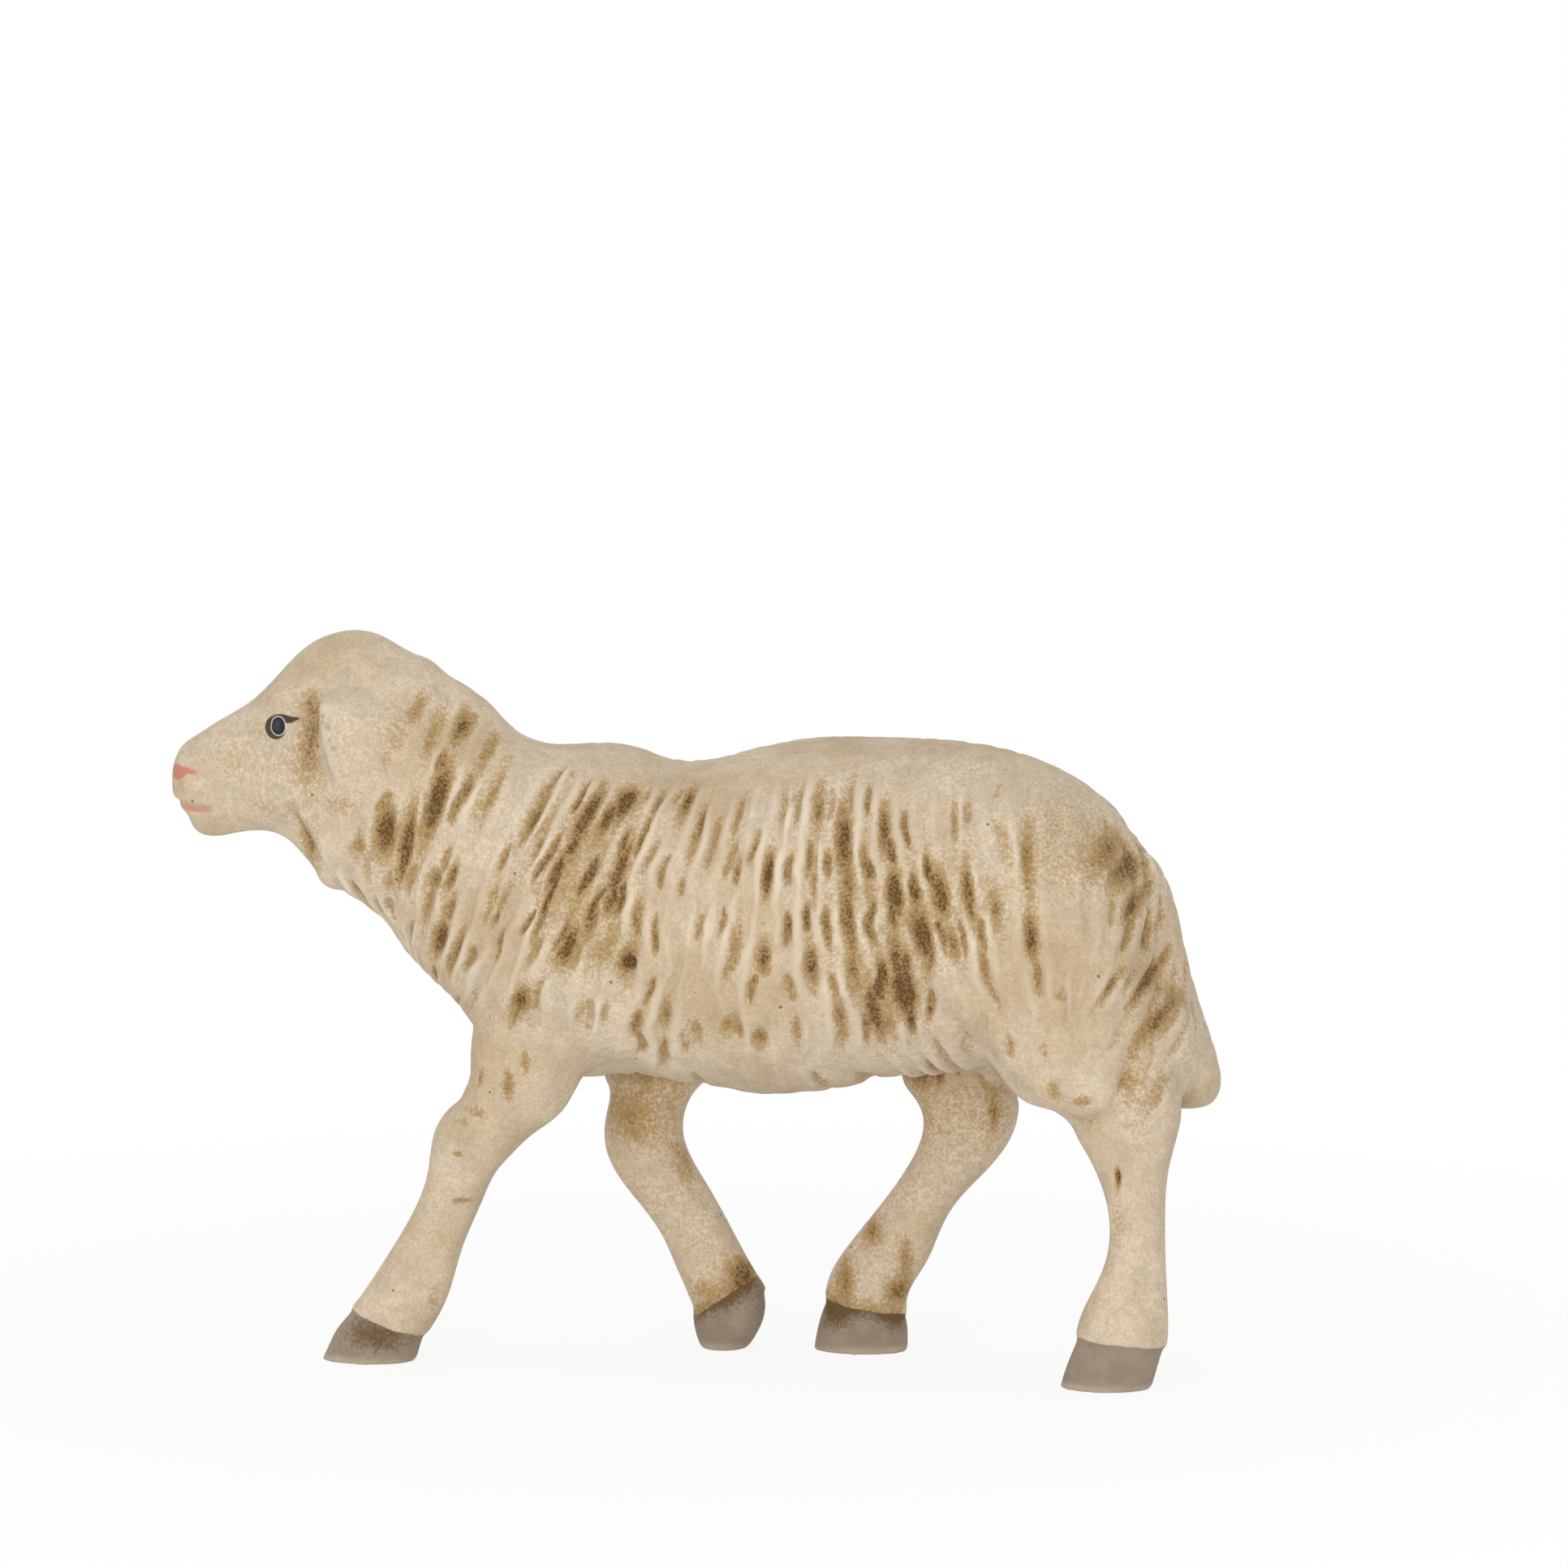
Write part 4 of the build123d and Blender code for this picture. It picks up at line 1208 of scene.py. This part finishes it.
def coat_group(settings):
    """The painted coat: cream mottled by the brush, with a brown wash that pools in the hollows, and
    painted shade in the creases and folds.
    """
    if "Washed Coat" in bpy.data.node_groups:
        return bpy.data.node_groups["Washed Coat"]
    group, tree, start = shared_group(
        "Washed Coat",
        {"Wash": "Float", "Pool": "Float", "Stain": "Float"},
        {"Color": "Color", "Height": "Float", "Wash": "Float", "Grain": "Float"},
    )
    place = tree.place()
    hollow, crease = tree.mask("hollow"), tree.mask("crease")
    groove, haze = tree.mask("groove"), tree.mask("haze")
    # The strokes of wash, with painted shade in the folds and on the insides of the legs
    brushed = tree.mask("wash")
    patch = tree.noise(place, 110.0)[0]
    mottle = tree.noise(place, 520.0, 3.0)[0]
    grain = tree.remap(tree.noise(place, 4200.0)[0], 0.32, 0.68)
    fleck = tree.remap(tree.noise(place, 1700.0)[0], 0.32, 0.68)
    # The wash in the fine hollows and the grooves, and painted shade in the broad creases between limbs
    wash_and_shade = tree.math("MULTIPLY_ADD", hollow, 1.4, tree.math("MULTIPLY", crease, 0.30))
    wash_and_shade = tree.math("MULTIPLY_ADD", groove, 0.80, tree.math("MULTIPLY_ADD", haze, 0.48, wash_and_shade))
    wash_and_shade = tree.math("MULTIPLY", wash_and_shade, tree.remap(patch, 0.30, 0.68, 0.65, 1.2))
    wash_and_shade = tree.math("MULTIPLY", wash_and_shade, tree.math("MULTIPLY_ADD", brushed, 0.5, start["Pool"]))
    wash_and_shade = tree.math("MULTIPLY_ADD", brushed, 0.60, wash_and_shade)
    rough = tree.math("MULTIPLY_ADD", mottle, 0.7, tree.math("MULTIPLY_ADD", grain, 0.36, -0.60))
    rough = tree.math("MULTIPLY_ADD", fleck, 0.14, rough)
    spread = tree.math("MULTIPLY_ADD", tree.math("MINIMUM", wash_and_shade, 1.0), 0.9, 0.40)
    ragged = tree.math("MULTIPLY_ADD", rough, spread, wash_and_shade)
    thin = tree.remap(ragged, 0.04, 0.95)
    thick = tree.remap(ragged, 0.80, 1.85)
    thick = tree.math("MULTIPLY", thick, tree.remap(grain, 0.0, 1.0, 0.60, 0.98))
    stain = tree.math("MULTIPLY", tree.remap(patch, 0.35, 0.75), start["Stain"])
    thin = tree.math("MULTIPLY", tree.math("MAXIMUM", thin, stain), start["Wash"])
    cream = tree.mix(tree.remap(mottle, 0.3, 0.7), [c * 0.84 for c in settings.cream], settings.cream)
    cream = tree.mix(tree.math("MULTIPLY", grain, 0.30), cream, settings.wash)
    cream = tree.mix(tree.math("MULTIPLY", fleck, 0.18), cream, settings.wash)
    cream = tree.mix(tree.remap(hollow, -0.03, -0.18), cream, [c * 1.01 for c in settings.cream])
    colour = tree.mix(tree.math("MULTIPLY", thin, 0.85), cream, settings.wash)
    colour = tree.mix(thick, colour, settings.umber)
    # The casting's pinholes: umber dots for the wash in them and the painted shade inside, and a small
    # dip in the height
    specks = tree.put("ShaderNodeTexVoronoi", {"Vector": place, "Scale": 900.0}).outputs
    chance = tree.put("ShaderNodeSeparateColor", {"Color": specks["Color"]}).outputs["Red"]
    size = tree.remap(chance, 0.90, 1.0, 0.0, 0.16)
    pore = tree.remap(tree.math("SUBTRACT", size, specks["Distance"]), 0.0, 0.05)
    colour = tree.mix(tree.math("MULTIPLY", pore, 0.75), colour, settings.umber)
    height = tree.math("MULTIPLY_ADD", grain, 0.35, tree.math("MULTIPLY", mottle, 0.5))
    height = tree.math("SUBTRACT", height, pore)
    tree.put("NodeGroupOutput", {"Color": colour, "Height": height, "Wash": thin, "Grain": grain})
    return group


def washed_coat(tree, settings, wash=1.0, pool=1.0, stain=0.5):
    """Places the painted coat in a material with its own strengths."""
    node = tree.put("ShaderNodeGroup", node_tree=coat_group(settings))
    for name, value in (("Wash", wash), ("Pool", pool), ("Stain", stain)):
        node.inputs[name].default_value = value
    return node.outputs


def finish_paint(tree, shader, colour, coat):
    """Joins colour, sheen and brush texture to the shader."""
    tree.links.new(colour, shader.inputs["Base Color"])
    tree.links.new(tree.remap(coat["Wash"], 0.0, 1.0, 0.62, 0.80), shader.inputs["Roughness"])
    bump = tree.put("ShaderNodeBump", {"Strength": 0.25, "Distance": 0.00012, "Height": coat["Height"]})
    tree.links.new(bump.outputs[0], shader.inputs["Normal"])


def fleece_paint(settings):
    """Cream fleece with the wash deep in its grooves."""
    material, tree, shader = material_tree("Fleece", 0.7)
    coat = washed_coat(tree, settings)
    finish_paint(tree, shader, coat["Color"], coat)
    return material


def leg_paint(settings):
    """Smooth cream shanks over grey hooves with worn soles, and a brushed line between."""
    material, tree, shader = material_tree("Leg", 0.7)
    coat = washed_coat(tree, settings, stain=0.45)
    place = tree.place()
    brush = tree.noise(place, 500.0)[0]
    edge = tree.sway(tree.mask("hoof_rise"), brush, 0.5)
    grey = tree.mix(tree.remap(brush, 0.35, 0.65), settings.hoof, [c * 0.85 for c in settings.hoof])
    height = tree.put("ShaderNodeSeparateXYZ", {"Vector": place}).outputs["Z"]
    worn = tree.sway(height, brush, -0.0012)
    grey = tree.mix(tree.remap(worn, 0.0008, 0.0001, 0.0, 0.35), grey, settings.cream)
    # Brown strokes on the hooves, and painted shade at the top of their insides
    brown = tree.sway(tree.sway(tree.mask("hoof_wash_and_shade"), brush, 0.55), coat["Grain"], 0.50)
    olive = [0.60 * dark + 0.14 * light for dark, light in zip(settings.umber, settings.wash)]
    grey = tree.mix(tree.remap(brown, 0.10, 1.3, 0.0, 0.90), grey, olive)
    colour = tree.mix(tree.remap(edge, 0.06, -0.06), coat["Color"], grey)
    finish_paint(tree, shader, colour, coat)
    return material


# Grey specks on the ears: place along and up, and radius, in millimetres
EAR_SPECKS = (
    (-27.75, 50.3, 0.20),
    (-27.7, 49.8, 0.18),
    (-27.3, 49.5, 0.22),
    (-27.15, 48.5, 0.16),
    (-26.8, 47.9, 0.24),
)


def face_paint(settings):
    """Smooth cream head and ears, with painted eyes, nose and lips."""
    material, tree, shader = material_tree("Face", 0.7)
    coat = washed_coat(tree, settings, wash=0.85, pool=0.75)
    scaled = tree.scaled(tree.place(), 1 / MM)

    def spot(x, z, width, height, turn, soft):
        mapped = tree.put(
            "ShaderNodeMapping",
            {
                "Vector": scaled,
                "Location": (x, 0, z),
                "Rotation": (0, math.radians(turn), 0),
                "Scale": (width, 1e6, height),
            },
            vector_type="TEXTURE",
        ).outputs[0]
        return tree.remap(tree.length(mapped), 1.0 + soft, 1.0 - soft)

    colour = coat["Color"]
    olive = (0.066, 0.050, 0.030)
    lips = [0.7 * pink + 0.2 * cream for pink, cream in zip(settings.pink, settings.cream)]
    # Place along and up, half width and half height in millimetres, turn in degrees, softness, paint
    spots = {
        "round the eye": (-32.05, 48.85, 0.95, 0.88, 0, 0.08, olive),
        "upper lid": (-31.35, 49.6, 0.95, 0.30, 4, 0.2, olive),
        "corner of the lid": (-30.55, 49.65, 0.52, 0.15, -6, 0.3, olive),
        "pale ring": (-31.8, 49.0, 0.72, 0.73, 0, 0.06, (0.60, 0.58, 0.53)),
        "eye": (-31.8, 49.0, 0.64, 0.66, 0, 0.08, (0.018, 0.019, 0.021)),
        # A painted highlight: a slightly lighter spot in the middle of the pupil
        "painted highlight in the eye": (-31.9, 49.05, 0.32, 0.36, 0, 0.5, (0.034, 0.037, 0.040)),
        "upper edge of the nose": (-39.4, 45.05, 0.90, 0.22, 6, 0.25, settings.pink),
        "nostril": (-39.85, 44.8, 0.80, 0.34, -32, 0.25, settings.pink),
        "tip of the nose": (-40.2, 44.85, 0.65, 0.58, 0, 0.25, settings.pink),
        "lips": (-38.75, 42.05, 1.25, 0.26, 3, 0.4, lips),
    }
    for *shape, paint in spots.values():
        colour = tree.mix(spot(*shape), colour, paint)
    for x, z, size in EAR_SPECKS:
        faint = tree.math("MULTIPLY", spot(x, z, size, size, 0, 0.5), 0.5)
        colour = tree.mix(faint, colour, (0.24, 0.22, 0.23))
    finish_paint(tree, shader, colour, coat)
    return material


def drawn_steel():
    """Drawn steel, faintly mottled."""
    material, tree, shader = material_tree("Drawn Steel", 0.35)
    shader.inputs["Metallic"].default_value = 1.0
    grain = tree.noise(tree.place(), 2500.0)[0]
    colour = tree.mix(grain, (0.42, 0.42, 0.43), (0.56, 0.56, 0.57))
    tree.links.new(colour, shader.inputs["Base Color"])
    tree.links.new(tree.remap(grain, 0.2, 0.8, 0.28, 0.45), shader.inputs["Roughness"])
    return material


class SHEEP_OT_stage(bpy.types.Operator):
    """Set the floor, the light and the camera"""

    bl_idname = "sheep.stage"
    bl_label = "Stage"

    def execute(self, context):
        settings = context.scene.sheep_stage
        lay_floor(settings)
        set_light(settings)
        set_camera(settings)
        context.scene.view_settings.view_transform = "Standard"
        return {"FINISHED"}


def seen_rays(tree):
    """One for the rays that show the stage: the camera's own, and those by way of metal or glass."""
    path = tree.put("ShaderNodeLightPath").outputs
    seen = tree.math("MAXIMUM", path["Is Camera Ray"], path["Is Glossy Ray"])
    return tree.math("MAXIMUM", seen, path["Is Transmission Ray"])


def lay_floor(settings):
    """A pale floor that looks white to the camera and keeps a soft shadow."""
    half = settings.floor
    mesh = bpy.data.meshes.new("floor")
    corners = [(-half, -half, 0), (half, -half, 0), (half, half, 0), (-half, half, 0)]
    mesh.from_pydata(corners, [], [(0, 1, 2, 3)])
    floor = add_object("floor", mesh)
    material, tree, shader = material_tree("Floor", 0.9)
    shader.inputs["Base Color"].default_value = (0.92, 0.92, 0.91, 1)
    glow = tree.put("ShaderNodeEmission", {"Color": (1, 1, 1, 1), "Strength": 1.0})
    away = tree.remap(tree.length(tree.place()), 0.04, 0.13, 0.86, 1.0)
    share = tree.math("MULTIPLY", seen_rays(tree), away)
    mixed = tree.put("ShaderNodeMixShader", {0: share, 1: shader.outputs[0], 2: glow.outputs[0]})
    tree.links.new(mixed.outputs[0], tree.nodes["Material Output"].inputs["Surface"])
    mesh.materials.append(material)


# What the lamps point at, in metres, and the fill lamp's power against the key lamp's
AIM = Vector((0, 0, 0.03))
FILL_SHARE = 1.5


def set_light(settings):
    """Soft light from all round, with a key lamp at the upper left and a fill lamp low on the right."""
    world = bpy.data.worlds.new("Studio")
    bpy.context.scene.world = world
    world.use_nodes = True
    tree = Tree(world.node_tree)
    strength = tree.remap(seen_rays(tree), 0.0, 1.0, settings.sky, 1.0)
    background = tree.nodes["Background"]
    background.inputs["Color"].default_value = (1, 1, 1, 1)
    tree.links.new(strength, background.inputs["Strength"])
    for name, place, size, power in (
        ("key", (-0.06, -0.48, 0.14), 0.35, settings.key),
        ("fill", (0.10, -0.48, 0.02), 0.40, settings.key * FILL_SHARE),
    ):
        lamp = bpy.data.lights.new(name, "AREA")
        lamp.shape = "DISK"
        lamp.size = size
        lamp.energy = power
        light = add_object(name, lamp)
        light.location = place
        light.rotation_euler = (AIM - Vector(place)).to_track_quat("-Z", "Y").to_euler()


# The photograph's width at 16 pixels to the millimetre, and what lies at its centre
FRAME_WIDTH = 1932 / 16.0
CENTRE_RIGHT, CENTRE_UP = 6.75, 44.2


def set_camera(settings):
    """A long lens at the photograph's height and turn, framed as it is."""
    right = Vector((math.cos(VIEW_TURN), math.sin(VIEW_TURN), 0))
    back = Vector(
        (
            math.sin(VIEW_TURN) * math.cos(VIEW_RISE),
            -math.cos(VIEW_TURN) * math.cos(VIEW_RISE),
            math.sin(VIEW_RISE),
        )
    )
    up = back.cross(right)
    target = (right * CENTRE_RIGHT + up * CENTRE_UP) * MM
    data = bpy.data.cameras.new("camera")
    data.lens = settings.lens
    data.clip_start = 0.01
    camera = add_object("camera", data)
    reach = FRAME_WIDTH * MM * settings.lens / data.sensor_width
    turn = Matrix((right, up, back)).transposed().to_4x4()
    camera.matrix_world = Matrix.Translation(target + back * reach) @ turn
    bpy.context.scene.camera = camera


class SHEEP_PT_panel(bpy.types.Panel):
    """The sheep's operators and settings"""

    bl_idname = "SHEEP_PT_panel"
    bl_label = "Painted Sheep"
    bl_space_type = "VIEW_3D"
    bl_region_type = "UI"
    bl_category = "Sheep"

    def draw(self, context):
        for group in SETTINGS:
            settings = getattr(context.scene, group)
            box = self.layout.box()
            for name in settings.__annotations__:
                box.prop(settings, name)
        for operator in OPERATORS:
            self.layout.operator(operator.bl_idname)


OPERATORS = (
    SHEEP_OT_carve_form,
    SHEEP_OT_trunk,
    SHEEP_OT_head,
    SHEEP_OT_tail,
    SHEEP_OT_legs,
    SHEEP_OT_wires,
    SHEEP_OT_stage,
)
SETTINGS = {"sheep_fleece": FleeceSettings, "sheep_paint": PaintSettings, "sheep_stage": StageSettings}


def register():
    """Adds the settings, operators and panel."""
    for item in (*SETTINGS.values(), *OPERATORS, SHEEP_PT_panel):
        bpy.utils.register_class(item)
    for name, group in SETTINGS.items():
        setattr(bpy.types.Scene, name, PointerProperty(type=group))


def unregister():
    """Takes them away again."""
    for name in SETTINGS:
        delattr(bpy.types.Scene, name)
    for item in (SHEEP_PT_panel, *reversed(OPERATORS), *SETTINGS.values()):
        bpy.utils.unregister_class(item)


def main():
    """Builds the whole sheep."""
    register()
    bpy.ops.sheep.carve_form()
    bpy.ops.sheep.trunk()
    bpy.ops.sheep.head()
    bpy.ops.sheep.tail()
    bpy.ops.sheep.legs()
    bpy.ops.sheep.wires()
    bpy.ops.sheep.stage()
    FORM.clear()


if __name__ == "__main__":
    main()
